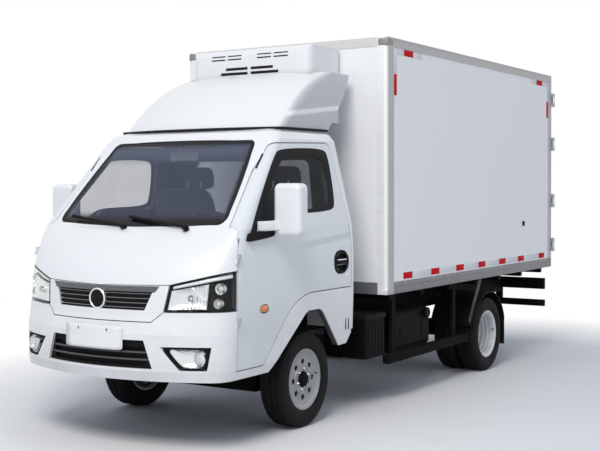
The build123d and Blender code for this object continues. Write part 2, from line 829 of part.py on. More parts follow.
# Rear portal with the hinge knuckles and their pins
opening_half = box_half - frame_post
opening_low = box_base + bottom_rail
opening_top = box_top - frame_head
pin_x = box_half + hinge_out
pin_y = box_rear + hinge_back
hinge_heights = (1000, 1420, 1960, 2380)
knuckle = 34
strap_high = 56
with BuildPart() as box_rear_frame:
    with BuildSketch(Plane.XZ.offset(-panel_rear)):
        with Locations((0, box_base + box_height / 2)):
            Rectangle(box_width, box_height)
        with Locations((0, (opening_low + opening_top) / 2)):
            Rectangle(2 * opening_half, opening_top - opening_low, mode=Mode.SUBTRACT)
    extrude(amount=-frame_depth)
    for z in hinge_heights:
        for side in (-1, 1):
            for low in (z - strap_high / 2 - knuckle - 1, z + strap_high / 2 + 1):
                with BuildSketch(Plane.XY.offset(low)):
                    with Locations((side * pin_x, pin_y)):
                        Circle(hinge_radius)
                    with Locations((side * (pin_x - 26), box_rear + hinge_back / 2 - 2)):
                        Rectangle(52, hinge_back + 4)
                extrude(amount=knuckle)
            with BuildSketch(Plane.XY.offset(z - strap_high / 2 - knuckle)):
                with Locations((side * pin_x, pin_y)):
                    Circle(pin_radius)
            extrude(amount=strap_high + 2 * knuckle)

# Rear doors with their hinge straps
leaf_gap = 6
leaf_low = opening_low + leaf_gap
leaf_top = opening_top - leaf_gap
leaf_out = opening_half - leaf_gap
leaf_in = leaf_gap / 2
strap_reach = 230
with BuildPart() as box_door_left:
    with BuildSketch(Plane.XZ.offset(-box_rear)):
        with Locations(((leaf_in + leaf_out) / 2, (leaf_low + leaf_top) / 2)):
            Rectangle(leaf_out - leaf_in, leaf_top - leaf_low)
    extrude(amount=wall_thick)
with BuildPart() as box_door_right:
    mirror(box_door_left.part, about=Plane.YZ)

rod_x = 130
rod_radius = 11
rod_y = box_rear + door_gear_depth - rod_radius - 3
with BuildPart() as door_gear_left:
    for z in hinge_heights:
        with BuildSketch(Plane.XY.offset(z - strap_high / 2)):
            with Locations((pin_x, pin_y)):
                Circle(hinge_radius)
            with BuildLine():
                Polyline((leaf_out - strap_reach, box_rear), (leaf_out - 4, box_rear), (leaf_out - 4, box_rear + 4),
                         (pin_x - 4, pin_y - 8), (pin_x, pin_y + hinge_radius), (leaf_out - 10, box_rear + 16),
                         (leaf_out - strap_reach, box_rear + 12), (leaf_out - strap_reach, box_rear))
            make_face()
            with Locations((pin_x, pin_y)):
                Circle(pin_radius + running_gap, mode=Mode.SUBTRACT)
        extrude(amount=strap_high)
    with BuildSketch(Plane.XY.offset(box_base + 40)):
        with Locations((rod_x, rod_y)):
            Circle(rod_radius)
    extrude(amount=box_height - 80)
    for z in (950, 1330, 1500, 2060, 2440):
        with BuildSketch(Plane.XY.offset(z)):
            with Locations((rod_x, box_rear + door_gear_depth / 2)):
                Rectangle(52, door_gear_depth)
        extrude(amount=36)
    with BuildSketch(Plane.XZ.offset(-(box_rear + 24))):
        with Locations((rod_x + 150, 1428)):
            Rectangle(330, 26)
    extrude(amount=-12)
with BuildPart() as door_gear_right:
    mirror(door_gear_left.part, about=Plane.YZ)

# Subframe between the rails and the box floor
runner_top = box_base - 50
with BuildPart() as box_bearers:
    for side in (-1, 1):
        with BuildSketch(Plane.XZ.offset(-(box_front + 30))):
            with Locations((side * rail_x, (rail_top + runner_top) / 2)):
                Rectangle(50, runner_top - rail_top)
        extrude(amount=-(box_length - 150))
    bearer_count = 7
    bearer_pitch = (box_length - 300) / (bearer_count - 1)
    with BuildSketch(Plane.XY.offset(runner_top)):
        for i in range(bearer_count):
            with Locations((0, box_front + 150 + i * bearer_pitch)):
                Rectangle(2 * (box_half - 50), 50)
    extrude(amount=box_base - runner_top)

# Ladder frame: two channel rails and their cross members
rail_front = front_y - 950
rail_rear = box_rear - 90
with BuildPart() as chassis_frame:
    for side in (-1, 1):
        with BuildSketch(Plane.XZ.offset(-rail_front)):
            with Locations((side * rail_x, rail_top - rail_height / 2)):
                Rectangle(rail_width, rail_height)
            with Locations((side * (rail_x - rail_wall), rail_top - rail_height / 2)):
                Rectangle(rail_width, rail_height - 2 * rail_wall, mode=Mode.SUBTRACT)
        extrude(amount=-(rail_rear - rail_front))
    cross_places = (rail_front + 40, front_y + 900, front_y + 1700, rear_y + 520, rail_rear - 40)
    with BuildSketch(Plane.XY.offset(rail_base + 25)):
        for y in cross_places:
            with Locations((0, y)):
                Rectangle(2 * (rail_x + rail_width / 2 - rail_wall), 70)
    extrude(amount=90)

# Tow eye under the rear cross member
tow_radius = 16
tow_thick = 22
with BuildPart() as tow_eye:
    with BuildSketch(Plane.XY.offset(rail_base + 60)):
        with Locations((0, rail_rear + 20)):
            Rectangle(70, 90)
        with Locations((0, rail_rear + 65)):
            Circle(35)
            Circle(tow_radius, mode=Mode.SUBTRACT)
    extrude(amount=tow_thick)
with BuildPart() as frame_full:
    add(chassis_frame.part)
    add(tow_eye.part)
    with BuildSketch(Plane.XY.offset(rail_base + 60)):
        with Locations((0, rail_rear + 65)):
            Circle(tow_radius)
    extrude(amount=tow_thick, mode=Mode.SUBTRACT)

# Front suspension: cross beam, uprights and arms that hold the king pins
beam_low = 200
arm_low_z = 206
arm_high_z = 398
arm_thick = 25
wheel_z = tyre_radius
with BuildPart() as front_axle:
    with BuildSketch(Plane.XY.offset(beam_low)):
        with Locations((0, front_y)):
            Rectangle(720, 110)
    extrude(amount=80)
    for side in (-1, 1):
        with BuildSketch(Plane.XY.offset(beam_low)):
            with Locations((side * 352, front_y)):
                Rectangle(50, 110)
        extrude(amount=rail_base - beam_low)
        for z in (arm_low_z, arm_high_z):
            with BuildSketch(Plane.XY.offset(z)):
                with Locations((side * (352 + kingpin_x) / 2, front_y)):
                    Rectangle(kingpin_x - 352, 50)
                with Locations((side * kingpin_x, front_y)):
                    Circle(28)
            extrude(amount=arm_thick)
        with BuildSketch(Plane.XY.offset(arm_low_z)):
            with Locations((side * kingpin_x, front_y)):
                Circle(kingpin_radius + running_gap)
        extrude(amount=300, mode=Mode.SUBTRACT)

# Steering knuckle with its king pin, spindle, brake plate and track arm
mount_face = 684
with BuildPart() as knuckle_left:
    with BuildSketch(Plane.XY.offset(arm_low_z - 12)):
        with Locations((kingpin_x, front_y)):
            Circle(kingpin_radius)
    extrude(amount=arm_high_z + arm_thick + 24 - arm_low_z)
    with BuildSketch(Plane.XY.offset(arm_low_z + arm_thick + 1)):
        with Locations((kingpin_x, front_y)):
            Rectangle(64, 64)
    extrude(amount=arm_high_z - arm_low_z - arm_thick - 2)
    with BuildSketch(Plane.YZ.offset(kingpin_x)):
        with Locations((front_y, wheel_z)):
            Circle(spindle_radius)
    extrude(amount=mount_face + 30 - kingpin_x)
    with BuildSketch(Plane.YZ.offset(kingpin_x + 34)):
        with Locations((front_y, wheel_z)):
            Circle(128)
    extrude(amount=18)
    with BuildSketch(Plane.XY.offset(264)):
        with Locations((kingpin_x, front_y + track_arm / 2)):
            Rectangle(30, track_arm)
        with Locations((kingpin_x, front_y + track_arm)):
            Circle(18)
    extrude(amount=18)
with BuildPart() as knuckle_right:
    mirror(knuckle_left.part, about=Plane.YZ)

with BuildPart() as track_rod:
    with BuildSketch(Plane.YZ.offset(-kingpin_x)):
        with Locations((front_y + track_arm, 252)):
            Circle(9)
    extrude(amount=2 * kingpin_x)
    with BuildSketch(Plane.XY.offset(243)):
        with Locations((-kingpin_x, front_y + track_arm), (kingpin_x, front_y + track_arm)):
            Circle(16)
    extrude(amount=264 - running_gap - 243)

# Engine block with gearbox and propeller shaft, on its mounting arms
engine_low = 330
with BuildPart() as engine:
    with BuildSketch(Plane.XY.offset(engine_low)):
        with Locations((0, front_y + 100)):
            Rectangle(400, 640)
    extrude(amount=480)
    with BuildSketch(Plane.XZ.offset(-(front_y + 420))):
        with Locations((0, 480)):
            Rectangle(250, 230)
    extrude(amount=-420)
    with BuildSketch(Plane.XY.offset(rail_base + 10)):
        with Locations((0, front_y + 150)):
            Rectangle(2 * (rail_x + rail_width / 2 - rail_wall), 80)
    extrude(amount=40)
shaft_start = Vector(0, front_y + 830, 480)
shaft_end = Vector(0, rear_y - 116, wheel_z + 20)
shaft_dir = shaft_end - shaft_start
with BuildPart() as driveline:
    add(engine.part)
    with BuildSketch(Plane(origin=shaft_start, x_dir=(1, 0, 0), z_dir=shaft_dir)):
        Circle(38)
    extrude(amount=shaft_dir.length)

# Exhaust along the right of the frame
with BuildPart() as exhaust:
    with BuildSketch(Plane.XZ.offset(-(front_y + 420))):
        with Locations((-165, 400)):
            Circle(24)
    extrude(amount=-1300)
    with BuildSketch(Plane.XZ.offset(-(front_y + 1000))):
        with Locations((-165, 400)):
            Circle(80)
    extrude(amount=-480)

# Rear axle with its differential, springs above it
spring_x = rail_x
spring_half = 590
spring_thick = 44
with BuildPart() as rear_axle:
    with BuildSketch(Plane.YZ.offset(-560)):
        with Locations((rear_y, wheel_z)):
            Circle(axle_radius)
    extrude(amount=1120)
    with BuildSketch(Plane.XZ.offset(-(rear_y + 120))):
        with Locations((0, wheel_z)):
            Circle(130)
    extrude(amount=230)
    with BuildSketch(Plane.YZ.offset(-730)):
        with Locations((rear_y, wheel_z)):
            Circle(spindle_radius + 8)
    extrude(amount=1460)
with BuildPart() as leaf_springs:
    for side in (-1, 1):
        with BuildSketch(Plane.YZ.offset(side * spring_x - 30)):
            with BuildLine():
                ThreePointArc((rear_y - spring_half, 470), (rear_y, wheel_z + axle_radius), (rear_y + spring_half, 470))
                Line((rear_y + spring_half, 470), (rear_y + spring_half, 470 + spring_thick))
                ThreePointArc((rear_y + spring_half, 470 + spring_thick),
                              (rear_y, wheel_z + axle_radius + spring_thick + 20),
                              (rear_y - spring_half, 470 + spring_thick))
                Line((rear_y - spring_half, 470 + spring_thick), (rear_y - spring_half, 470))
            make_face()
            with Locations((rear_y - spring_half, 500), (rear_y + spring_half, 500)):
                Rectangle(50, 2 * (rail_base - 500))
        extrude(amount=60)

# Fuel tank and battery box hung from the left rail
rail_out = rail_x + rail_width / 2
with BuildPart() as fuel_tank:
    with BuildSketch(Plane.XZ.offset(-(front_y + 1180))):
        with Locations((600, 480)):
            RectangleRounded(330, 300, 50)
    extrude(amount=-620)
    with BuildSketch(Plane.XY.offset(560)):
        with Locations(((rail_out + 500) / 2, front_y + 1300), ((rail_out + 500) / 2, front_y + 1680)):
            Rectangle(500 - rail_out, 60)
    extrude(amount=50)
with BuildPart() as battery_box:
    with BuildSketch(Plane.XY.offset(350)):
        with Locations((620, front_y + 860)):
            RectangleRounded(340, 300, 20)
    extrude(amount=300)
    with BuildSketch(Plane.XY.offset(560)):
        with Locations(((rail_out + 500) / 2, front_y + 860)):
            Rectangle(500 - rail_out, 200)
    extrude(amount=50)

# Side guards: a low rail hung from the bearers on each side
guard_front = front_y + 1010
guard_rear = front_y + 2430
guard_out = 825
with BuildPart() as side_guards:
    for side in (-1, 1):
        with BuildSketch(Plane.XZ.offset(-guard_front)):
            with Locations((side * (guard_out - 25), 318)):
                Rectangle(50, 66)
        extrude(amount=-(guard_rear - guard_front))
        with BuildSketch(Plane.XY.offset(285)):
            for place in (1130, 2210):
                with Locations((side * (guard_out - 40), front_y + place)):
                    Rectangle(26, 60)
        extrude(amount=box_base - 285)

# Rear mudguards over the twin wheels, with flaps behind
guard_radius = 352
guard_wall = 6
mud_in = 484
mud_out = 862
with BuildPart() as rear_mudguards:
    for side in (-1, 1):
        near = mud_in if side > 0 else -mud_out
        with BuildSketch(Plane.YZ.offset(near)):
            with Locations((rear_y, wheel_z)):
                Circle(guard_radius + guard_wall)
                Circle(guard_radius, mode=Mode.SUBTRACT)
            with Locations((rear_y, wheel_z - 250)):
                Rectangle(1000, 700, mode=Mode.SUBTRACT)
            with Locations((rear_y + guard_radius - 11, (190 + wheel_z + 110) / 2)):
                Rectangle(8, wheel_z + 110 - 190)
        extrude(amount=mud_out - mud_in)
        with BuildSketch(Plane.XY.offset(wheel_z + guard_radius - 10)):
            with Locations((side * (rail_out + mud_in + 20) / 2, rear_y)):
                Rectangle(mud_in + 20 - rail_out, 50)
        extrude(amount=20)

# Rear under-run bar and lamp board on the rail ends
board_y = rail_rear
with BuildPart() as rear_bar:
    with BuildSketch(Plane.XZ.offset(-board_y)):
        with Locations((0, 443)):
            Rectangle(1660, 60)
        for side in (-1, 1):
            with Locations((side * rail_x, 520)):
                Rectangle(60, 200)
            with Locations((side * (rail_x + 800) / 2, 628)):
                Rectangle(800 - rail_x + 60, 104)
    extrude(amount=-40)
with BuildPart() as tail_lamps:
    with BuildSketch(Plane.XZ.offset(-(board_y + 40))):
        with Locations((-630, 628), (630, 628)):
            RectangleRounded(300, 88, 14)
    extrude(amount=-26)

# Tyres: closed sections turned about the wheel axis
# columns: share of the half width, radius
tyre_rows = [
    (-0.72, bead_radius), (-1.0, bead_radius + 62), (-0.86, tyre_radius - 14), (-0.68, tyre_radius),
    (0.68, tyre_radius), (0.86, tyre_radius - 14), (1.0, bead_radius + 62), (0.72, bead_radius),
]


def tyre_solid(x, y):
    half = tyre_width / 2
    points = [(x + share * half, wheel_z + radius) for share, radius in tyre_rows]
    with BuildPart() as tyre:
        with BuildSketch(Plane.XZ.offset(-y)):
            with BuildLine():
                Polyline(*points, points[0])
            make_face()
        revolve(axis=Axis((x, y, wheel_z), (1, 0, 0)))
    return tyre.part


# Rims: barrel and disc; the disc stands out on front wheels and sits deep on twin outers
def rim_solid(x, y, inner_rows, outer_rows):
    half = rim_width / 2
    lip = [(half, flange_radius - 10), (half, flange_radius), (half - 8, bead_radius),
           (8 - half, bead_radius), (-half, flange_radius), (-half, flange_radius - 10)]
    rows = inner_rows + outer_rows + lip
    points = [(x + along, wheel_z + radius) for along, radius in rows]
    with BuildPart() as rim:
        with BuildSketch(Plane.XZ.offset(-y)):
            with BuildLine():
                Polyline(*points, points[0])
            make_face()
        revolve(axis=Axis((x, y, wheel_z), (1, 0, 0)))
    return rim.part


disc_thick = 9
barrel_radius = bead_radius - 10
disc_radius = 140
front_bore = spindle_radius + running_gap
front_disc = mount_face + 24 - front_wheel_x
front_inner_rows = [(10 - rim_width / 2, barrel_radius), (front_disc - disc_thick - 6, barrel_radius),
                    (front_disc - disc_thick, disc_radius), (front_disc - disc_thick, front_bore)]
front_outer_rows = [(front_disc, front_bore), (front_disc, disc_radius), (rim_width / 2 - 10, barrel_radius)]
hand_hole = 18
with BuildPart() as front_left_rim:
    add(rim_solid(front_wheel_x, front_y, front_inner_rows, front_outer_rows))
    with BuildSketch(Plane.YZ.offset(front_wheel_x)):
        with Locations((front_y, wheel_z)):
            with PolarLocations(116, 8):
                Circle(hand_hole)
    extrude(amount=120, mode=Mode.SUBTRACT)
with BuildPart() as front_left_tyre:
    add(tyre_solid(front_wheel_x, front_y))
with BuildPart() as front_right_rim:
    mirror(front_left_rim.part, about=Plane.YZ)
with BuildPart() as front_right_tyre:
    mirror(front_left_tyre.part, about=Plane.YZ)

rear_inner_x = rear_outer_x - twin_spacing
twin_mid = (rear_outer_x + rear_inner_x) / 2
rear_bore = spindle_radius + 8 + running_gap
rear_disc = twin_mid - rear_outer_x
rear_inner_rows = [(rear_disc, disc_radius + 10), (rear_disc, rear_bore)]
rear_outer_rows = [(rear_disc + disc_thick, rear_bore), (rear_disc + disc_thick, disc_radius),
                   (12 - rim_width / 2, barrel_radius), (rim_width / 2 - 10, barrel_radius)]
with BuildPart() as rear_outer_rim:
    add(rim_solid(rear_outer_x, rear_y, rear_inner_rows, rear_outer_rows))
with BuildPart() as rear_left_rims:
    add(rear_outer_rim.part)
    mirror(rear_outer_rim.part, about=Plane.YZ.offset(twin_mid))
with BuildPart() as rear_left_tyres:
    add(tyre_solid(rear_outer_x, rear_y))
    add(tyre_solid(rear_inner_x, rear_y))
with BuildPart() as rear_right_rims:
    mirror(rear_left_rims.part, about=Plane.YZ)
with BuildPart() as rear_right_tyres:
    mirror(rear_left_tyres.part, about=Plane.YZ)

pieces = {
    "chassis_frame": frame_full, "box_bearers": box_bearers, "front_axle": front_axle, "engine": driveline,
    "exhaust": exhaust, "rear_axle": rear_axle, "leaf_springs": leaf_springs,
    "fuel_tank": fuel_tank, "battery_box": battery_box, "side_guards": side_guards,
    "rear_mudguards": rear_mudguards, "rear_bar": rear_bar, "tail_lamps": tail_lamps,
    "box_floor": box_floor, "box_front_wall": box_front_wall, "box_left_wall": box_left_wall,
    "box_right_wall": box_right_wall, "box_roof": box_roof, "box_trim": box_trim,
    "box_rear_frame": box_rear_frame, "cooling_unit": cooling_unit, "evaporator": evaporator,
    "box_door_left": box_door_left, "box_door_right": box_door_right,
    "door_gear_left": door_gear_left, "door_gear_right": door_gear_right,
    "cab_floor": cab_floor, "cab_front": cab_front, "cab_roof": cab_roof, "cab_rear_wall": cab_rear_wall,
    "side_panels": side_panels, "cab_glass": cab_glass, "bumper": bumper,
    "grille_panel": grille_panel, "grilles": grilles, "front_lamps": front_lamps,
    "wipers": wipers, "dashboard": dash_column, "steering_wheel": steering_wheel, "seats": seats,
    "roof_fairing": roof_fairing,
    "cab_door_left": cab_door_left, "door_glass_left": door_glass_left, "mirror_left": mirror_left,
    "cab_door_right": cab_door_right, "door_glass_right": door_glass_right, "mirror_right": mirror_right,
    "knuckle_left": knuckle_left, "knuckle_right": knuckle_right, "track_rod": track_rod,
    "front_left_rim": front_left_rim, "front_left_tyre": front_left_tyre,
    "front_right_rim": front_right_rim, "front_right_tyre": front_right_tyre,
    "rear_left_rims": rear_left_rims, "rear_left_tyres": rear_left_tyres,
    "rear_right_rims": rear_right_rims, "rear_right_tyres": rear_right_tyres,
}
for name, piece in pieces.items():
    piece.part.label = name
    export_step(piece.part, f"parts/{name}.step")
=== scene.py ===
import math
import bmesh
import bpy
import numpy as np
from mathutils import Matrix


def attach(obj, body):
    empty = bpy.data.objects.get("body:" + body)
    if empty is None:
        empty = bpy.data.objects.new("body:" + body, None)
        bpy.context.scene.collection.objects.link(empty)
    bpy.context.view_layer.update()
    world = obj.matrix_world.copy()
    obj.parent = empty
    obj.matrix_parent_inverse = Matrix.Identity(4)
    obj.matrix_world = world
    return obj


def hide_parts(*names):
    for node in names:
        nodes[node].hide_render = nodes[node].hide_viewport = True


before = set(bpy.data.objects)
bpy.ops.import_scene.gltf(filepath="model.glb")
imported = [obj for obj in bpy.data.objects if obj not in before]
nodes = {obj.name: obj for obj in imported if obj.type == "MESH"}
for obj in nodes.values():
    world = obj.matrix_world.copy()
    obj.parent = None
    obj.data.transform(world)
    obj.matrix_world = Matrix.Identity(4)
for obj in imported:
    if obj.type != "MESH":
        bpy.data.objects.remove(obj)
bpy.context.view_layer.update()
print("frame loaded:", len(nodes), "nodes")

# where the truck stands: metres, nose towards -Y, its left side towards +X
frontAxle, rearAxle, wheelHeight = -1.57, 1.23, 0.309
noseY, boxFront, boxRear = -2.81, -0.68, 2.77
cabHalf, boxHalf = 0.8, 0.87


class Sock:
    # one output socket; the operators add Math nodes
    def __init__(self, owner, socket):
        self.owner, self.socket = owner, socket

    def math(self, operation, *others):
        # a Math node of this socket and others
        made = self.owner.node("ShaderNodeMath", {"operation": operation}, dict(enumerate((self, *others))))
        return Sock(self.owner, made.outputs[0])

    def __add__(self, other):
        return self.math("ADD", other)

    def __radd__(self, other):
        return self.math("ADD", other)

    def __sub__(self, other):
        return self.math("SUBTRACT", other)

    def __rsub__(self, other):
        return (self * -1).math("ADD", other)

    def __mul__(self, other):
        return self.math("MULTIPLY", other)

    def __rmul__(self, other):
        return self.math("MULTIPLY", other)

    def __truediv__(self, other):
        return self.math("DIVIDE", other)

    def abs(self):
        return self.math("ABSOLUTE")

    def sin(self):
        return self.math("SINE")

    def least(self, other):
        return self.math("MINIMUM", other)

    def most(self, other):
        return self.math("MAXIMUM", other)

    def above(self, edge, soft=0.001):
        # 0 below the edge, 1 above it, a straight ramp between that softness on either side
        ends = {"Value": self, "From Min": edge - soft, "From Max": edge + soft}
        return Sock(self.owner, self.owner.node("ShaderNodeMapRange", {"clamp": True}, ends).outputs["Result"])

    def below(self, edge, soft=0.001):
        return 1 - self.above(edge, soft)


class Nodes:
    # a node tree, with the one method that adds nodes to it
    def __init__(self, tree):
        self.tree = tree

    def node(self, kind, settings=None, sockets=None):
        made = self.tree.nodes.new(kind)
        for key, value in (settings or {}).items():
            setattr(made, key, value)
        for key, value in (sockets or {}).items():
            self.feed(made.inputs[key], value)
        return made

    def feed(self, socket, value):
        # links a socket or sets its value; a colour gets its alpha
        if isinstance(value, Sock):
            self.tree.links.new(value.socket, socket)
        else:
            socket.default_value = (*value, 1) if socket.type == "RGBA" else value

    def mix(self, share, first, second):
        # a colour between two colours
        made = self.node("ShaderNodeMix", {"data_type": "RGBA"}, {0: share, 6: first, 7: second})
        return Sock(self, made.outputs[2])

    def seen(self):
        # 1 for rays that look at a thing: straight, mirrored or through glass
        rays = self.node("ShaderNodeLightPath").outputs
        straight, glossy, through = (Sock(self, rays[kind]) for kind in
                                     ("Is Camera Ray", "Is Glossy Ray", "Is Transmission Ray"))
        return straight.most(glossy).most(through)


class Finish(Nodes):
    # a material: its nodes, its Object coordinates and its shader
    def __init__(self, name):
        self.material = bpy.data.materials.new(name)
        self.material.use_nodes = True
        super().__init__(self.material.node_tree)
        self.shader = self.tree.nodes["Principled BSDF"]
        self.place = Sock(self, self.node("ShaderNodeTexCoord").outputs["Object"])
        axes = self.node("ShaderNodeSeparateXYZ", {}, {"Vector": self.place})
        self.x, self.y, self.z = (Sock(self, axes.outputs[i]) for i in range(3))

    def noise(self, scale, detail=3.0, rough=0.55, stretch=None):
        # noise over the Object coordinates, drawn out if a stretch is given
        place = self.place
        if stretch:
            place = Sock(self, self.node("ShaderNodeMapping", {}, {"Vector": place, "Scale": stretch}).outputs[0])
        sockets = {"Vector": place, "Scale": scale, "Detail": detail, "Roughness": rough}
        return Sock(self, self.node("ShaderNodeTexNoise", {}, sockets).outputs["Fac"])

    def dust(self, top):
        # road dust in patches that thin out upwards
        return self.z.below(top, 0.35) * self.noise(7, 5, 0.65).above(0.5, 0.22)

    def bump(self, height, strength=0.2, distance=0.001):
        # a normal from a height
        made = self.node("ShaderNodeBump", {}, {"Height": height, "Strength": strength, "Distance": distance})
        return Sock(self, made.outputs[0])

    def set(self, **values):
        # feeds the shader's sockets by short names and gives the material
        names = {"colour": "Base Color", "rough": "Roughness", "metal": "Metallic", "coat": "Coat Weight",
                 "alpha": "Alpha", "normal": "Normal", "coatRough": "Coat Roughness", "gloss": "Specular IOR Level",
                 "glass": "Transmission Weight", "bend": "IOR", "sheen": "Sheen Weight"}
        for key, value in values.items():
            self.feed(self.shader.inputs[names[key]], value)
        return self.material


roadDust = (0.36, 0.33, 0.29)
paintTones = (0.78, 0.79, 0.8), (0.71, 0.725, 0.745)
cabTones = (0.78, 0.795, 0.81), (0.7, 0.72, 0.745)


def paintFinish(name, colour, shade, rough, coat, dust, dustTop=0.75, gloss=0.5):
    # sprayed paint: slow tone drift, orange peel and road dust
    f = Finish(name)
    drift = f.noise(1.3, 4)
    fine = f.noise(60, 2)
    low = f.dust(dustTop)
    base = f.mix(drift * 0.35, colour, shade)
    return f.set(colour=f.mix(low * dust * 0.5, base, roadDust), rough=fine * 0.08 + rough - 0.04 + low * 0.25,
                 coat=(1 - low) * coat, coatRough=0.06, gloss=gloss, normal=f.bump(f.noise(420, 2), 0.03, 0.0004))


# the cab's skin as its paint sees it: the flank leans in over the shoulder, the screen rakes back from its foot
skin = dict(shoulder=1.305, shoulderHalf=0.79, lean=0.162, bend=0.07, bendDepth=8, foot=-2.428, rake=0.9243,
            bow=0.066, screenWall=0.024, doorWall=0.022, cabWall=0.02, back=-1.018, backLean=0.09, roof=1.886,
            hoodEnd=-2.25, floor=0.7, lowLean=0.0245, lowFrom=0.985, archHalf=0.46, archTop=0.9, hinges=-2.4)
crease = dict(z=1.3185, rise=0.0814, fade=-1.85)


def cabFinish(name, colour, shade, doors):
    # cab paint outside; the lining is dark trim, while the shut faces and the inner wheel arch take the same dark as
    # painted shade, told apart by their depth under the skin; the hinge lugs get a grey painted shade
    f, k = Finish(name), skin
    depth = (k["shoulderHalf"] + (k["shoulder"] - f.z) * k["lean"]).least(cabHalf) - f.x.abs()
    bend = (k["bend"] - depth).most(0)
    past = f.y - (f.z - k["shoulder"]) * k["rake"] - k["foot"] - f.x * f.x * k["bow"] - bend * bend * k["bendDepth"]
    pastScreen = past.above(k["screenWall"], 0.004)
    peel = f.noise(420, 2) * 0.004
    if doors:
        inside = depth.above(k["doorWall"], 0.003) * pastScreen
        # the pressed line that rises towards the handle and fades out to the front
        line = (f.z - f.y * crease["rise"] - crease["z"]).above(0, 0.02)
        peel = peel + line * f.y.above(crease["fade"], 0.3)
    else:
        ahead = k["back"] - f.y - f.z.above(1.58, 0.3) * k["backLean"]
        inside = depth.above(k["cabWall"], 0.004) * pastScreen * ahead.above(0.018, 0.004)
        inside = inside * f.z.below(k["roof"], 0.004) * f.z.above(k["floor"], 0.01) * f.y.above(k["hoodEnd"], 0.01)
        # inner faces of the front wheel arch, darkened with the trim colour as painted shade
        arch = (depth - (k["lowFrom"] - f.z) * k["lowLean"]).above(0.007, 0.002)
        arch = arch * (f.y - frontAxle).abs().below(k["archHalf"], 0.02) * f.z.below(k["archTop"], 0.01)
        inside = inside.most(arch)
    # hinge lugs at the door's front edge: painted shade, a grey where the white paint would be
    hingeShade = f.x.abs().above(cabHalf + 0.0004, 0.0003) * f.y.below(k["hinges"], 0.01)
    low = f.dust(0.75)
    base = f.mix(low * 0.3, f.mix(f.noise(1.3, 4) * 0.35, colour, shade), roadDust)
    base = f.mix(hingeShade, base, (0.4, 0.42, 0.45))
    # dark trim colour: the lining's own colour, and painted shade on the shut faces and the wheel arch
    trim = f.mix(f.noise(180, 2), (0.03, 0.031, 0.034), (0.06, 0.06, 0.064))
    return f.set(colour=f.mix(inside, base, trim), coat=(1 - low.most(inside)) * 0.5, coatRough=0.06,
                 rough=f.noise(60, 2) * 0.08 + 0.28 + low * 0.25 + inside * 0.3, normal=f.bump(peel, 0.8, 0.016))


def mirrorFinish():
    # white mirror head and arm on a black foot at the window
    f = Finish("mirrorShell")
    foot = f.x.abs().below(0.7925, 0.0015)
    base = f.mix(f.noise(3, 3) * 0.4, *cabTones)
    return f.set(colour=f.mix(foot, base, (0.02, 0.02, 0.021)), rough=f.noise(80, 2) * 0.1 + 0.28 + foot * 0.2,
                 coat=(1 - foot) * 0.4, coatRough=0.06, normal=f.bump(f.noise(400, 2), 0.05, 0.0004))


fairing = dict(half=0.64, lean=0.12, leanFrom=2.05, back=-0.7, ribZ=2.01, ribRise=0.11, ribFrom=-1.77, ribHalf=0.016)


def fairingFinish():
    # fairing paint: flanks behind the bend greyer as painted shade, crossed by a pressed rib that rises to the rear and
    # is kept out of that shade, so it shows as a pale painted highlight
    f, k = Finish("fairingWhite"), fairing
    half = k["half"] - (f.z - k["leanFrom"]).most(0) * k["lean"]
    flank = (f.x.abs() - half).above(-0.016, 0.012) * f.y.below(k["back"], 0.01)
    rib = (f.z - (f.y - k["ribFrom"]) * k["ribRise"] - k["ribZ"]).abs().below(k["ribHalf"], 0.007)
    base = f.mix(f.noise(1.3, 4) * 0.35, *paintTones)
    # the flanks' grey (0.47, 0.48, 0.52) is painted shade; the rib keeps the plain white
    return f.set(colour=f.mix(flank * (1 - rib), base, (0.47, 0.48, 0.52)), rough=f.noise(60, 2) * 0.08 + 0.34,
                 coat=0.3, coatRough=0.06, normal=f.bump(rib * flank + f.noise(420, 2) * 0.01, 0.3, 0.006))


def panelFinish(name, colour, shade):
    # moulded box skin: a faint dimpled gelcoat with rain streaks that run down
    f = Finish(name)
    dimple = f.noise(95, 3, 0.5)
    streak = f.noise(5, 4, 0.6, (6, 6, 0.35)).above(0.56, 0.12)
    base = f.mix(f.noise(0.9, 3) * 0.5, colour, shade)
    return f.set(colour=f.mix(streak * 0.05, base, (0.52, 0.53, 0.53)), rough=dimple * 0.14 + 0.3,
                 coat=0.12, normal=f.bump(dimple, 0.07, 0.0008))


def metalFinish(name, colour, dark, rough, scale=80, metal=1.0, wear=0.35, grain=(1, 1, 1)):
    # bare metal: drawn or cast grain, with dull patches
    f = Finish(name)
    lines = f.noise(scale, 4, 0.6, grain)
    patch = f.noise(6, 5, 0.6)
    return f.set(colour=f.mix(lines * 0.5 + patch * wear, colour, dark), metal=metal,
                 rough=lines * 0.16 + patch * 0.12 + rough, normal=f.bump(lines, 0.08, 0.0005))


def railFinish():
    # drawn alloy: grain along the profile, darker, duller low rails, corner posts near white as a painted highlight and
    # outer faces greyer as painted shade
    f = Finish("drawnAlloy")
    lines = f.noise(12, 4, 0.6, (30, 1, 1))
    patch = f.noise(6, 5, 0.6)
    post = f.x.abs().above(boxHalf - 0.08, 0.001) * f.y.below(boxFront + 0.1, 0.001)
    low = f.z.below(0.8735, 0.001) * (1 - post)
    tone = lines * 0.5 + patch * 0.35
    # corner posts: near white and less metallic, a painted highlight
    bright = f.mix(post * 0.8, f.mix(tone, (0.7, 0.7, 0.69), (0.54, 0.54, 0.54)), (0.93, 0.93, 0.92))
    # outer faces of the rails: grey, painted shade
    bright = f.mix(f.x.abs().above(boxHalf - 0.006, 0.005) * 0.85, bright, (0.37, 0.37, 0.375))
    dull = f.mix(tone, (0.22, 0.22, 0.235), (0.16, 0.16, 0.17))
    return f.set(colour=f.mix(low, bright, dull), metal=0.5 - low * 0.1 - post * 0.3,
                 rough=lines * 0.16 + patch * 0.12 + 0.32, normal=f.bump(lines, 0.08, 0.0005))


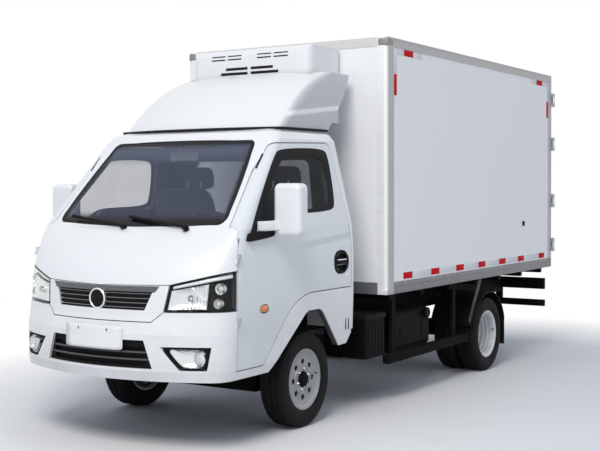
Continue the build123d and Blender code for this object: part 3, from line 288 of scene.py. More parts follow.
def plasticFinish(name, colour, pale, rough=0.5, grain=520, strength=0.18, gloss=0.2):
    # moulded plastic: leather-like grain, faded where the sun reaches
    f = Finish(name)
    pores = f.noise(grain, 2)
    fade = f.noise(3.2, 4)
    return f.set(colour=f.mix(fade * 0.55, colour, pale), rough=pores * 0.12 + rough + fade * 0.08, gloss=gloss,
                 normal=f.bump(pores, strength, 0.0006))


def rubberFinish(name, colour, dusty, dust=0.5):
    # rubber: matt, dusty in patches, with a fine tooth
    f = Finish(name)
    patch = f.noise(11, 5, 0.62)
    return f.set(colour=f.mix(patch * dust, colour, dusty), rough=patch * 0.18 + 0.66, gloss=0.15,
                 normal=f.bump(f.noise(260, 3), 0.14, 0.0006))


def lensFinish(name, colour, rough=0.08, ribs=1.0):
    # moulded lamp lens: a clear gloss with fine optic ribs inside
    f = Finish(name)
    wave = (f.x * 620).sin() * 0.5 + 0.5
    cloud = f.noise(30, 3)
    deep = tuple(c * 0.7 for c in colour)
    return f.set(colour=f.mix(cloud * 0.25, colour, deep), rough=cloud * 0.05 + rough, bend=1.45, coat=0.6,
                 coatRough=0.03, normal=f.bump(wave * ribs + cloud * 0.1, 0.25, 0.0015))


# the windscreen in front view: half width and height at its foot, lean of its sides, top edge
screen = dict(footHalf=0.668, foot=1.328, lean=0.1916, top=1.85, sill=1.312, sillRise=-0.018, sillShare=0.62,
              topHalf=0.568, footMiddle=1.311, round=0.05, border=0.026, fade=0.042, band=1.74)


def screenFinish():
    # tinted glass with a bluish base colour that is a painted sky reflection; the fired black border follows the
    # screen's outline and fades out in dots
    f, k = Finish("tintedScreen"), screen
    side = k["footHalf"] - (f.z - k["foot"]) * k["lean"] - f.x.abs()
    edge = side.least(k["top"] - f.z).least((f.z - k["sill"] + f.x.abs() * k["sillRise"]) * k["sillShare"])
    front = f.y.below(-1.9, 0.01)
    dots = (f.x * 420).sin() * (f.z * 420).sin()
    fade = edge.below(k["fade"], 0.012) * dots.above(0.1, 0.2) * front
    black = (edge.below(k["border"], 0.004) * front).most(fade)
    film = f.noise(4, 4)
    shadeBand = f.z.above(k["band"], 0.05) * front * 0.3
    # the bluish (0.115, 0.135, 0.2) is a painted reflection of the sky
    return f.set(colour=f.mix(black, (0.115, 0.135, 0.2), (0.008, 0.008, 0.009)), rough=film * 0.03 + 0.015,
                 alpha=black.most(film * 0.06 + 0.22 * front + shadeBand), gloss=0.2, coat=(1 - black) * 0.15,
                 coatRough=0.0)


def windowFinish():
    # flat tinted glass with a slight smear
    f = Finish("doorGlass")
    film = f.noise(5, 4)
    return f.set(colour=f.mix(film, (0.04, 0.05, 0.055), (0.07, 0.08, 0.085)), rough=film * 0.04 + 0.015,
                 alpha=film * 0.06 + 0.1, gloss=0.3, coat=0.1, coatRough=0.0)


def coverFinish():
    # clear lamp cover with a slight smear
    f = Finish("clearCover")
    smear = f.noise(8, 4)
    return f.set(colour=f.mix(smear * 0.3, (0.97, 0.98, 0.98), (0.88, 0.9, 0.91)), rough=smear * 0.02, glass=1.0,
                 bend=1.2)


def tapeFinish(name, colour, dark):
    # reflective tape: tiny cells pressed into a film
    f = Finish(name)
    cells = f.node("ShaderNodeTexVoronoi", {}, {"Vector": f.place, "Scale": 260})
    cell = Sock(f, cells.outputs["Distance"])
    return f.set(colour=f.mix(cell * 0.5 + f.noise(9, 4) * 0.25, colour, dark), rough=cell * 0.2 + 0.45, gloss=0.05,
                 normal=f.bump(cell, 0.12, 0.0006))


def clothFinish():
    # woven seat cloth: two sets of threads that cross
    f = Finish("seatCloth")
    weave = (f.x * 1900).sin() * (f.y * 1900 + f.z * 1900).sin()
    tone = weave * 0.3 + f.noise(14, 4) * 0.5
    return f.set(colour=f.mix(tone, (0.05, 0.051, 0.056), (0.095, 0.096, 0.1)), rough=0.85, sheen=0.3,
                 normal=f.bump(weave, 0.2, 0.0008))


# black for frame and tanks, darker than any paint, as painted shade under the truck
blackDarkenedForShade = (0.0045, 0.0045, 0.005), (0.01, 0.0098, 0.0095)
cabWhite = cabFinish("cabWhite", *cabTones, False)
# door paint: the cab's white made darker and bluer, as painted shade on the shaded side
doorShadedWhite = cabFinish("doorShadedWhite", (0.7, 0.735, 0.765), (0.65, 0.685, 0.715), True)
mirrorWhite = mirrorFinish()
fairingWhite = fairingFinish()
unitWhite = paintFinish("unitWhite", *paintTones, 0.36, 0.3, 0.2)
boxWhite = panelFinish("boxWhite", (0.86, 0.87, 0.88), (0.82, 0.83, 0.845))
plateWhite = panelFinish("plateWhite", (0.8, 0.81, 0.82), (0.75, 0.76, 0.77))
alloy = railFinish()
stainless = metalFinish("brushedSteel", (0.68, 0.69, 0.7), (0.5, 0.51, 0.52), 0.22, 10, grain=(40, 40, 1))
frontRim = metalFinish("frontRim", (0.36, 0.37, 0.385), (0.25, 0.255, 0.265), 0.24, 40, 0.75)
rimSilver = metalFinish("rimSilver", (0.68, 0.69, 0.71), (0.5, 0.5, 0.51), 0.34, 40, 0.45)
castGrey = metalFinish("castGrey", (0.1, 0.1, 0.105), (0.05, 0.048, 0.046), 0.55, 180, 0.6, 0.5)
cornerCast = metalFinish("cornerCast", (0.34, 0.335, 0.33), (0.2, 0.195, 0.19), 0.4, 60, 0.5, 0.5)
stayGrey = metalFinish("stayGrey", (0.07, 0.07, 0.074), (0.045, 0.045, 0.048), 0.45, 30, 0.4)
slatGrey = metalFinish("slatGrey", (0.3, 0.31, 0.32), (0.2, 0.2, 0.21), 0.28, 40, 0.4)
barGrey = metalFinish("barGrey", (0.1, 0.1, 0.105), (0.06, 0.06, 0.064), 0.35, 40, 0.4)
smokedChrome = metalFinish("smokedChrome", (0.16, 0.17, 0.175), (0.09, 0.095, 0.1), 0.1, 16, 0.9, 0.3)
chrome = metalFinish("brightChrome", (0.86, 0.87, 0.88), (0.72, 0.73, 0.75), 0.07, 20, 1.0, 0.15)
silverGlass = metalFinish("mirrorGlass", (0.82, 0.84, 0.86), (0.76, 0.78, 0.8), 0.015, 6, 1.0, 0.1)
chassisBlack = paintFinish("chassisBlack", *blackDarkenedForShade, 0.55, 0.0, 0.06, 0.6, 0.03)
tankBlack = plasticFinish("tankBlack", *blackDarkenedForShade, 0.5, 200, gloss=0.05)
# black plastic made darker than its own black, as painted shade for the parts under the truck
blackPlastic = plasticFinish("blackPlastic", (0.006, 0.006, 0.0065), (0.014, 0.014, 0.0145), gloss=0.08)
glossBlack = plasticFinish("glossBlack", (0.008, 0.008, 0.009), (0.014, 0.014, 0.015), 0.2, 90, 0.03, 0.08)
dashGrey = plasticFinish("dashGrey", (0.045, 0.046, 0.05), (0.075, 0.076, 0.08), 0.55)
paleGrey = plasticFinish("paleGrey", (0.6, 0.61, 0.62), (0.52, 0.53, 0.54), 0.4)
# tyre rubber darker than rubber's own black: its black partly, and partly painted shade
tyreBlack = rubberFinish("tyreBlack", (0.007, 0.007, 0.0075), (0.02, 0.0195, 0.0185))
sealBlack = rubberFinish("sealBlack", (0.012, 0.012, 0.013), (0.035, 0.035, 0.035), 0.3)
amber = lensFinish("amberLens", (0.75, 0.2, 0.012))
redLens = lensFinish("redLens", (0.42, 0.012, 0.012))
clearLens = lensFinish("clearLens", (0.7, 0.72, 0.74))
pearl = lensFinish("pearlStrip", (0.82, 0.84, 0.86), 0.18, 0.6)
clearCover = coverFinish()
screenGlass = screenFinish()
doorGlass = windowFinish()
tapeRed = tapeFinish("tapeRed", (0.66, 0.008, 0.014), (0.5, 0.005, 0.01))
tapeWhite = tapeFinish("tapeWhite", (0.8, 0.81, 0.82), (0.7, 0.71, 0.73))
seatCloth = clothFinish()

# finish, CAD nodes
nodeFinishes = [
    (cabWhite, "cab_front cab_roof cab_rear_wall side_panels bumper grille_panel"),
    (doorShadedWhite, "cab_door_left cab_door_right"),
    (mirrorWhite, "mirror_left mirror_right"),
    (fairingWhite, "roof_fairing"),
    (unitWhite, "cooling_unit evaporator"),
    (boxWhite, "box_front_wall box_left_wall box_right_wall box_roof box_floor box_door_left box_door_right"),
    (alloy, "box_trim box_rear_frame"),
    (stainless, "door_gear_left door_gear_right"),
    (chassisBlack, "chassis_frame box_bearers front_axle rear_axle leaf_springs rear_bar knuckle_left"),
    (chassisBlack, "knuckle_right track_rod cab_floor side_guards"),
    (castGrey, "engine exhaust"),
    (tankBlack, "fuel_tank battery_box"),
    (blackPlastic, "rear_mudguards grilles wipers steering_wheel"),
    (dashGrey, "dashboard seats"),
    (screenGlass, "cab_glass"),
    (doorGlass, "door_glass_left door_glass_right"),
    (clearLens, "front_lamps"),
    (redLens, "tail_lamps"),
    (frontRim, "front_left_rim front_right_rim"),
    (rimSilver, "rear_left_rims rear_right_rims"),
    (tyreBlack, "front_left_tyre front_right_tyre rear_left_tyres rear_right_tyres"),
]
for finish, names in nodeFinishes:
    for name in names.split():
        nodes[name].data.materials.clear()
        nodes[name].data.materials.append(finish)
print("finishes on", sum(len(names.split()) for finish, names in nodeFinishes), "nodes")


def gridFaces(rows, columns, closeRows, closeColumns, start):
    # the quads of a grid of rows by columns, as indices; a closed way runs back to its first line
    r = np.arange(rows if closeRows else rows - 1)
    c = np.arange(columns if closeColumns else columns - 1)
    i, j = np.meshgrid(r, c, indexing="ij")
    k, l = (i + 1) % rows, (j + 1) % columns
    quads = np.stack([i * columns + j, k * columns + j, k * columns + l, i * columns + l], -1)
    return quads.reshape(-1, 4) + start


def makePiece(name, grids, finish, body="chassis", sharp=50, shell=0.0, stands=()):
    # joins grids (points, close rows, close columns) into one mesh, merges its seams and turns its faces outwards
    corners, faces, start = [], [], 0
    for surface, closeRows, closeColumns in grids:
        rows, columns = surface.shape[:2]
        corners.append(surface.reshape(-1, 3))
        faces.append(gridFaces(rows, columns, closeRows, closeColumns, start))
        start += rows * columns
    mesh = bpy.data.meshes.new(name)
    mesh.from_pydata(np.concatenate(corners).tolist(), [], np.concatenate(faces).tolist())
    work = bmesh.new()
    work.from_mesh(mesh)
    bmesh.ops.remove_doubles(work, verts=work.verts, dist=2e-6)
    bmesh.ops.dissolve_degenerate(work, dist=1e-6, edges=work.edges)
    bmesh.ops.recalc_face_normals(work, faces=work.faces)
    work.to_mesh(mesh)
    work.free()
    mesh.polygons.foreach_set("use_smooth", np.ones(len(mesh.polygons), bool))
    mesh.set_sharp_from_angle(angle=math.radians(sharp))
    mesh.materials.append(finish)
    piece = bpy.data.objects.new(name, mesh)
    bpy.context.scene.collection.objects.link(piece)
    if shell:
        wall = piece.modifiers.new("wall", "SOLIDIFY")
        wall.thickness, wall.offset = shell, 0
    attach(piece, body)
    if stands:
        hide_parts(*stands)
    return piece


def points(x, y, z):
    # an array of points from its three coordinates; a single number holds for all of them
    return np.stack(np.broadcast_arrays(x, y, z), -1).astype(float)


def block(centre, size, radius, steps=3):
    # a box with round edges: a sphere's normal over latitude and longitude, pushed out by the signs of its octant
    radius = min(radius, 0.49 * min(size))
    t = np.linspace(0, np.pi / 2, steps + 1)
    lon = np.concatenate([t + q * np.pi / 2 for q in range(4)])
    lat = np.concatenate([t - np.pi / 2, t])
    signX = np.repeat([1, -1, -1, 1], steps + 1)
    signY = np.repeat([1, 1, -1, -1], steps + 1)
    signZ = np.repeat([-1, 1], steps + 1)
    a, b = np.meshgrid(lat, lon, indexing="ij")
    normal = points(np.cos(a) * np.cos(b), np.cos(a) * np.sin(b), np.sin(a))
    signs = points(signX[None, :], signY[None, :], signZ[:, None])
    surface = signs * (np.array(size) / 2 - radius) + normal * radius
    top, low = surface[-1:].copy(), surface[:1].copy()
    top[..., :2], low[..., :2] = 0, 0
    return np.concatenate([low, surface, top]) + np.array(centre), False, True


def pairOf(centre, size, radius, steps=3):
    # the same block on both sides of the truck
    return [block((side * centre[0], *centre[1:]), size, radius, steps) for side in (1, -1)]


def turned(profile, centre, axis=0, count=48):
    # a profile of (along, radius) pairs turned about an axis through the centre
    profile = np.array(profile, float)
    angle = np.arange(count) * 2 * np.pi / count
    surface = np.empty((len(profile), count, 3))
    first, second = (i for i in range(3) if i != axis)
    surface[..., axis] = profile[:, :1]
    surface[..., first] = profile[:, 1:] * np.cos(angle)
    surface[..., second] = profile[:, 1:] * np.sin(angle)
    return surface + np.array(centre), False, True


def swept(path, width, height, sides=10, up=(0, 0, 1), closed=False, power=2.0):
    # an oval section carried along a path; its width lies across the path and the up direction
    path = np.array(path, float)
    way = (np.roll(path, -1, 0) - np.roll(path, 1, 0)) if closed else np.gradient(path, axis=0)
    way /= np.linalg.norm(way, axis=1, keepdims=True)
    across = np.cross(way, np.broadcast_to(np.array(up, float), way.shape))
    across /= np.linalg.norm(across, axis=1, keepdims=True)
    rise = np.cross(across, way)
    angle = (np.arange(sides) + 0.5) * 2 * np.pi / sides
    c, s = np.cos(angle), np.sin(angle)
    c, s = np.sign(c) * np.abs(c) ** (2 / power), np.sign(s) * np.abs(s) ** (2 / power)
    wide, high = (c * width / 2)[None, :, None], (s * height / 2)[None, :, None]
    surface = path[:, None] + across[:, None] * wide + rise[:, None] * high
    if not closed:
        first, last = np.repeat(path[:1, None], sides, 1), np.repeat(path[-1:, None], sides, 1)
        surface = np.concatenate([first, surface, last])
    return surface, closed, True


def domes(centres, radius, height, direction, rings=2, sides=8):
    # rivet and bolt heads: a flattened half sphere at each centre, all as one stack of small grids
    direction = np.array(direction, float)
    helper = np.array((0, 0, 1.0)) if abs(direction[2]) < 0.9 else np.array((1.0, 0, 0))
    one = np.cross(helper, direction)
    one /= np.linalg.norm(one)
    two = np.cross(direction, one)
    lat = np.linspace(0, np.pi / 2, rings + 1)[:, None, None]
    lon = (np.arange(sides) * 2 * np.pi / sides)[None, :, None]
    flat = np.cos(lat) * (np.cos(lon) * one + np.sin(lon) * two) * radius
    base = flat[:1] - direction * 0.001
    shape = np.concatenate([base, flat + np.sin(lat) * direction * height])
    return [(shape + centre, False, True) for centre in np.array(centres, float)]


def mirrored(grids):
    # the same grids on the other side of the truck
    return [(surface * np.array((-1, 1, 1)), closeRows, closeColumns) for surface, closeRows, closeColumns in grids]


def both(grids):
    # grids and their mirror images
    return grids + mirrored(grids)


def softLoop(corners, radius, rounds=4):
    # a closed outline with rounded corners: each corner cut back by the radius, then its cuts halved again and again
    p = np.array(corners, float)
    way = np.roll(p, -1, 0) - p
    way /= np.linalg.norm(way, axis=1, keepdims=True)
    loop = np.stack([p + way * radius, np.roll(p, -1, 0) - way * radius], 1).reshape(-1, 2)
    for _ in range(rounds):
        after = np.roll(loop, -1, 0)
        loop = np.stack([loop * 0.75 + after * 0.25, loop * 0.25 + after * 0.75], 1).reshape(-1, 2)
    return loop


def roundPatch(width, height, power, rings, count):
    # a flat patch over (ring, angle): a superellipse shrunk towards its middle, as (across, up, share of the radius)
    share = np.linspace(1, 0, rings)[:, None]
    angle = (np.arange(count) + 0.5) * 2 * np.pi / count
    c, s = np.cos(angle), np.sin(angle)
    reach = (np.abs(c) ** power + np.abs(s) ** power) ** (-1 / power)
    return share * (c * reach * width / 2), share * (s * reach * height / 2), np.broadcast_to(share, (rings, count))


# the cab's outline at rising heights, in mm: z, nose set back, cheek set back, side drawn in, corner radius
rowZ, rowNose, rowCheek, rowSide, rowCorner = np.array([
    (430, 28, 255, 24, 160), (490, 0, 255, 12, 170), (700, 6, 265, 5, 180), (800, 44, 282, 2, 180),
    (985, 72, 300, 0, 180), (1150, 178, 345, 2, 140), (1305, 382, 418, 10, 70), (1860, 895, 940, 100, 60),
    (1905, 945, 985, 130, 60)]).T / 1000
hood = slice(4, 7)


def atHeight(z, column):
    # a column of the outline at height z; the hood runs as a parabola through its three rows
    curve = np.polyval(np.polyfit(rowZ[hood], column[hood], 2), z)
    onHood = (z > rowZ[hood][0]) & (z < rowZ[hood][-1])
    return np.where(onHood, curve, np.interp(z, rowZ, column))


def frontArcs(z):
    # the arc across the front at height z and the round corner at its end: middle and radius of both
    nose, corner = noseY + atHeight(z, rowNose), atHeight(z, rowCorner)
    half = cabHalf - atHeight(z, rowSide)
    sag = noseY + atHeight(z, rowCheek) - nose
    radius = (half ** 2 + sag ** 2) / (2 * sag)
    middle = nose + radius
    turnX = half - corner
    turnY = middle - np.sqrt((radius - corner) ** 2 - turnX ** 2)
    return middle, radius, turnX, turnY, corner


def frontY(x, z):
    # the cab's front at (x, z): the arc from cheek to cheek, then the corner into the side
    x, z = np.broadcast_arrays(np.abs(np.asarray(x, float)), np.asarray(z, float))
    middle, radius, turnX, turnY, corner = frontArcs(z)
    arc = middle - np.sqrt(np.maximum(radius ** 2 - x ** 2, 0))
    bend = turnY - np.sqrt(np.maximum(corner ** 2 - (x - turnX) ** 2, 0))
    return np.where(x <= turnX * radius / (radius - corner), arc, bend)


def frontX(y, z):
    # how far out the cab's corner reaches at (y, z)
    turnX, turnY, corner = frontArcs(z)[2:]
    return turnX + np.sqrt(np.maximum(corner ** 2 - np.maximum(turnY - y, 0) ** 2, 0))


def sideX(z):
    # the cab's flank at height z
    return cabHalf - np.interp(z, rowZ, rowSide)


tyre = dict(half=0.0885, pitches=64, grooveDepth=0.0075, sipeDepth=0.005, skew=0.02)
# half of the section: share of the half width, radius, band (1 groove, 2 shoulder blocks, 3 rib with cuts)
tyreProfile = np.array([
    (-0.70, 0.178, 0), (-0.78, 0.186, 0), (-0.80, 0.197, 0), (-0.88, 0.205, 0), (-0.91, 0.207, 0), (-0.965, 0.222, 0),
    (-1.0, 0.240, 0), (-0.998, 0.252, 0), (-0.97, 0.268, 0), (-0.985, 0.269, 0), (-0.955, 0.279, 0), (-0.93, 0.281, 0),
    (-0.885, 0.293, 0), (-0.85, 0.2995, 0), (-0.83, 0.302, 2), (-0.76, 0.3062, 2), (-0.66, 0.3078, 2),
    (-0.53, 0.3084, 2), (-0.52, 0.3084, 1), (-0.42, 0.3086, 1), (-0.41, 0.3087, 3), (-0.25, 0.309, 3),
    (-0.14, 0.309, 3), (-0.13, 0.309, 1), (-0.04, 0.309, 1), (-0.03, 0.309, 4)])


def tyreGrid(x, y):
    # radius over (angle, profile): the section turned about the axle, less the grooves and the cross cuts of each pitch
    t = tyre
    profile = np.concatenate([tyreProfile, tyreProfile[::-1] * np.array((-1, 1, 1))])
    along, radius, band = (column[None] for column in profile.T)
    cutEnds, cutLow = np.array((0.0, 0.36, 0.42, 0.94)), np.array((0.0, 1.0, 1.0, 0.0))
    angle = ((np.arange(t["pitches"])[:, None] + cutEnds) * 2 * np.pi / t["pitches"]).reshape(-1, 1)
    low = np.tile(cutLow, t["pitches"])[:, None]
    sipe = (band == 2) * low + (band == 3) * (1 - low) * 0.8
    radius = radius - (band == 1) * t["grooveDepth"] - sipe * t["sipeDepth"]
    angle = angle + np.abs(along) * t["skew"] * (band >= 2)
    return points(x + along * t["half"], y + radius * np.cos(angle), wheelHeight + radius * np.sin(angle)), True, True


# corner, wheel and tyre words in the frame's names, side, axle, tyre places
wheelPlaces = [
    ("front_left", "wheel", "tyre", 1, frontAxle, (0.65,)),
    ("front_right", "wheel", "tyre", -1, frontAxle, (0.65,)),
    ("rear_left", "wheels", "tyres", 1, rearAxle, (0.768, 0.571)),
    ("rear_right", "wheels", "tyres", -1, rearAxle, (0.768, 0.571))]
for corner, wheelWord, tyreWord, side, y, places in wheelPlaces:
    makePiece(corner + "_treadedTyre", [tyreGrid(side * x, y) for x in places], tyreBlack,
              corner + "_" + wheelWord, 30, stands=(corner + "_" + tyreWord,))
print("tyres done")

# headlamps: black tray, fluted bowl, two round lamps, pale strip and clear cover
headlamp = dict(cutY=frontAxle - 0.874, cutLow=0.837, cutRise=0.229, cutGap=0.003, near=0.449, nearLean=0.024,
                low=0.832, lowFrom=0.445, lowRise=0.016, top=0.981, topFrom=0.47, topRise=0.2486, wrapFrom=0.6,
                wrap=0.17, cover=0.0012, tray=0.036, bowlRim=0.009, bowlDeep=0.034, flutes=9, fluteDeep=0.0016,
                strip=0.012)
roundLamps = [(0.66, 0.6, 0.031), (0.64, 0.2, 0.027), (0.25, 0.42, 0.02)]  # u, v, radius
ringProfile = np.array([(0.012, 0.55), (0.004, 0.8), (-0.008, 1), (-0.01, 1.06), (-0.006, 1.12), (0.012, 1.1)])
lensProfile = np.array([(0.004, 0.62), (-0.002, 0.6), (-0.008, 0.4), (-0.0105, 0.18), (-0.011, 0)])


def lampFace(u, v, inset):
    # the lamp's face over (u, v): u runs from the grille round the corner, v from the lower edge to the upper
    h = headlamp
    reach = frontX(h["cutY"], h["cutLow"] + h["cutRise"] * v) - h["cutGap"]
    near = h["near"] + h["nearLean"] * v
    x = near + (reach - near) * np.sin(u * np.pi / 2)
    low = h["low"] + (x - h["lowFrom"]) * h["lowRise"]
    top = h["top"] + (x - h["topFrom"]) * h["topRise"]
    z = low + (top - low) * v
    return points(x - inset * np.clip((x - h["wrapFrom"]) / h["wrap"], 0, 1), frontY(x, z) + inset, z)


def lampGrid(u0, u1, v0, v1, columns, rows, depth):
    # part of the lamp's face, with a depth given over its own (across, up) from -1 to 1
    a, b = np.meshgrid(np.linspace(-1, 1, columns), np.linspace(-1, 1, rows))
    u, v = u0 + (u1 - u0) * (a + 1) / 2, v0 + (v1 - v0) * (b + 1) / 2
    return [(lampFace(u, v, depth(a, b)), False, False)]


def trayDepth(a, b):
    # flat at the edge, then down a short wall to the floor of the tray
    return 0.002 + headlamp["tray"] * np.clip((1 - np.maximum(np.abs(a), np.abs(b))) / 0.1, 0, 1)


def bowlDepth(a, b):
    # a rounded dish with upright flutes
    h = headlamp
    dish = np.clip(1 - np.abs(a) ** 3, 0, 1) * np.clip(1 - np.abs(b) ** 3, 0, 1)
    return h["bowlRim"] + (h["bowlDeep"] - h["bowlRim"]) * dish + h["fluteDeep"] * np.cos(a * np.pi * h["flutes"])


tray = lampGrid(0, 1, 0, 1, 48, 30, trayDepth)
bowl = lampGrid(0.03, 0.47, 0.07, 0.79, 60, 36, bowlDepth)
strip = lampGrid(0.03, 0.88, 0.845, 0.955, 50, 8, lambda a, b: headlamp["strip"] + 0.004 * b ** 2)
cover = lampGrid(0, 1, 0, 1, 60, 36, lambda a, b: headlamp["cover"] + 0 * a)
rings, glasses = [], []
for u, v, radius in roundLamps:
    place = lampFace(np.array(u), np.array(v), 0.022)
    rings.append(turned(ringProfile * (1, radius), place, 1, 40))
    glasses.append(turned(lensProfile * (1, radius), place, 1, 32))

# fog lamps: a black bezel round a tapered opening, chrome tray, round lamp and clear cover
fog = dict(corners=[(0.449, 0.632), (0.718, 0.632), (0.698, 0.502), (0.559, 0.502)], round=0.022, middle=(0.612, 0.57),
           lamp=(0.655, 0.565), lampDeep=0.02)


def fogRing(shares, insets):
    # the opening's soft outline drawn in towards its middle
    middle = np.array(fog["middle"])
    p = middle + (softLoop(fog["corners"], fog["round"]) - middle) * np.asarray(shares)[:, None, None]
    x, z = p[..., 0], p[..., 1]
    return [(points(x, frontY(x, z) + np.asarray(insets)[:, None], z), False, True)]


fogBezel = fogRing((1.0, 1.0, 0.99, 0.86, 0.84, 0.78), (0.03, 0.0, -0.0015, -0.0015, 0.002, 0.028))
fogTray = fogRing((0.8, 0.6, 0.4, 0.2, 0.0), (0.02, 0.032, 0.038, 0.04, 0.04))
fogCover = fogRing((0.83, 0.5, 0.2, 0.0), (0.008, 0.006, 0.005, 0.005))
place = points(fog["lamp"][0], frontY(*fog["lamp"]) + fog["lampDeep"], fog["lamp"][1])
rings.append(turned([(0.012, 0.02), (0, 0.034), (-0.008, 0.038), (-0.008, 0.041), (0.012, 0.04)], place, 1, 40))
glasses.append(turned([(0.0, 0.034), (-0.006, 0.03), (-0.01, 0.015), (-0.0115, 0)], place, 1, 32))

makePiece("headlampTrays", both(tray), glossBlack, sharp=35, stands=("front_lamps",))
makePiece("headlampBowls", both(bowl), chrome, sharp=60)
makePiece("headlampStrips", both(strip), pearl, sharp=60, shell=0.003)
makePiece("headlampCovers", both(cover), clearCover, sharp=70, shell=0.002)
makePiece("lampRings", both(rings), chrome)
makePiece("lampGlasses", both(glasses), clearLens)
makePiece("fogBezels", both(fogBezel), blackPlastic, sharp=40)
makePiece("fogTrays", both(fogTray), chrome, sharp=60)
makePiece("fogCovers", both(fogCover), clearCover, sharp=60, shell=0.002)
print("lamps done")

# grille: dark bright strip over it, edges on its slats, a plain roundel
grille = dict(low=0.941, high=0.971, lowHalf=0.386, highHalf=0.412, lift=0.002, endRise=0.006, slatHalf=0.374,
              inset=0.0115, slats=((0.8495, 0.86), (0.8765, 0.9), (0.9035, 0.93), (0.9305, 0.965)), roundelZ=0.894)
t, v = np.meshgrid(np.linspace(-1, 1, 61), np.linspace(0, 1, 7), indexing="ij")
stripX = t * (grille["lowHalf"] + (grille["highHalf"] - grille["lowHalf"]) * v)
stripZ = grille["low"] + (grille["high"] - grille["low"]) * v + grille["endRise"] * np.abs(t) * v
stripY = frontY(stripX, stripZ) - grille["lift"] * 4 * v * (1 - v) + 0.0005
makePiece("grilleStrip", [(points(stripX, stripY, stripZ), False, False)], smokedChrome, shell=0.003)
across = np.linspace(-grille["slatHalf"], grille["slatHalf"], 61)
slats = [points(across * share, frontY(across * share, z) + grille["inset"], z) for z, share in grille["slats"]]
makePiece("grilleSlatEdges", [swept(path, 0.009, 0.0055, 8) for path in slats], slatGrey)
hub = (0, float(frontY(0, grille["roundelZ"])) - 0.001, grille["roundelZ"])
roundel = [(0.02, 0.0625), (-0.004, 0.0625), (-0.0095, 0.0595), (-0.0105, 0.056), (-0.0085, 0.0525), (-0.004, 0.051)]
roundelFace = [(0.0, 0.052), (-0.004, 0.052), (-0.006, 0.038), (-0.0075, 0.019), (-0.008, 0)]
makePiece("grilleRoundel", [turned(roundel, hub, 1, 64)], chrome)
makePiece("roundelFace", [turned(roundelFace, hub, 1, 64)], glossBlack)

# lower opening: bars
lower = dict(half=0.362, inset=0.019, bars=((0.5535, 1.04), (0.5955, 0.99)))
across = np.linspace(-lower["half"], lower["half"], 61)
bars = [points(across * share, frontY(across * share, z) + lower["inset"], z) for z, share in lower["bars"]]
makePiece("lowerGrilleBars", [swept(path, 0.008, 0.011, 8) for path in bars], barGrey)

# bare plate and its screws
plate = dict(width=0.44, height=0.14, z=0.674, bend=0.665, lift=0.0017, screwX=0.105, screwZ=0.718)
a, b, _ = roundPatch(plate["width"], plate["height"], 16, 5, 96)
plateY = frontY(a, np.minimum(plate["z"] + b, plate["bend"])) - plate["lift"]
frontPlate = [(points(a, plateY, plate["z"] + b), False, True)]
makePiece("frontPlate", frontPlate, plateWhite, sharp=60, shell=0.0012)
screwX = np.array((-1, 1)) * plate["screwX"]
screws = points(screwX, frontY(screwX, plate["bend"]) - 0.0018, plate["screwZ"])
makePiece("plateScrews", domes(screws, 0.0105, 0.0004, (0, -1, 0), 3, 16), castGrey, sharp=35)

# dark mesh behind the bars of the lower opening
radiator = dict(inset=0.047, half=0.405, low=0.503, lean=0.335, bottom=0.506, top=0.664)
radiatorZ = np.linspace(radiator["bottom"], radiator["top"], 9)
t, meshZ = np.meshgrid(np.linspace(-1, 1, 41), radiatorZ, indexing="ij")
meshX = t * (radiator["half"] - (meshZ - radiator["low"]) * radiator["lean"])
meshFace = points(meshX, frontY(meshX, meshZ) + radiator["inset"], meshZ)
makePiece("radiatorMesh", [(meshFace, False, False)], sealBlack, sharp=60, shell=0.003)

# dark seal rubber laid in the joints round the grille panel and along the hood's edge, as painted shadow lines in the
# gaps
joint = dict(lowHalf=0.38, lowEnd=0.443, lowZ=0.77, endZ=0.828, topHalf=0.47, topZ=0.974, topRise=0.011)
lowX = np.concatenate([np.linspace(-joint["lowEnd"], -joint["lowHalf"], 9), np.linspace(-0.378, 0.378, 61),
                       np.linspace(joint["lowHalf"], joint["lowEnd"], 9)])
lowZ = np.interp(np.abs(lowX), (joint["lowHalf"], joint["lowEnd"] + 0.002), (joint["lowZ"], joint["endZ"]))
topX = np.linspace(-joint["topHalf"], joint["topHalf"], 61)
topZ = joint["topZ"] + joint["topRise"] * np.abs(topX) / joint["topHalf"]
lampSeamShadow = lampFace(np.linspace(0, 0.99, 40), np.full(40, 1.012), 0.002)
seamShadows = [swept(points(lowX, frontY(lowX, lowZ) + 0.002, lowZ), 0.005, 0.007, 8),
         swept(points(topX, frontY(topX, topZ) + 0.003, topZ), 0.006, 0.0045, 8), swept(lampSeamShadow, 0.005, 0.0045, 8)]
# dark strips over the seams: painted shadow
makePiece("frontSeamShadows", seamShadows + mirrored(seamShadows[2:]), sealBlack, sharp=60)
print("front done")

# doors: window band, handle, side lamp and mirror; places along Y are from the front axle
window = dict(outerRound=0.055, innerRound=0.05, outer=[
    (-0.792, 1.224), (-0.494, 1.250), (-0.310, 1.383), (0.322, 1.393), (0.315, 1.812), (-0.325, 1.794)], inner=[
    (-0.722, 1.262), (-0.478, 1.280), (-0.312, 1.408), (0.258, 1.416), (0.238, 1.752), (-0.272, 1.742)])
handle = dict(y=0.362, z=1.05, ringY=0.345, ringZ=1.052, cupDeep=0.02, keyY=0.43, keyZ=0.96)
sideLampAt = dict(y=-0.592, z=0.823, base=0.7955, bulge=0.011)
mirror = dict(x=0.91, face=-2.0045, z=1.415)
mirrorFootCorners = [(-0.785, 1.228), (-0.497, 1.254), (-0.497, 1.284), (-0.76, 1.284)]
mirrorArmPath = [(0.782, -0.655, 1.318), (0.8, -0.6, 1.318), (0.822, -0.54, 1.32), (0.836, -0.49, 1.322)]


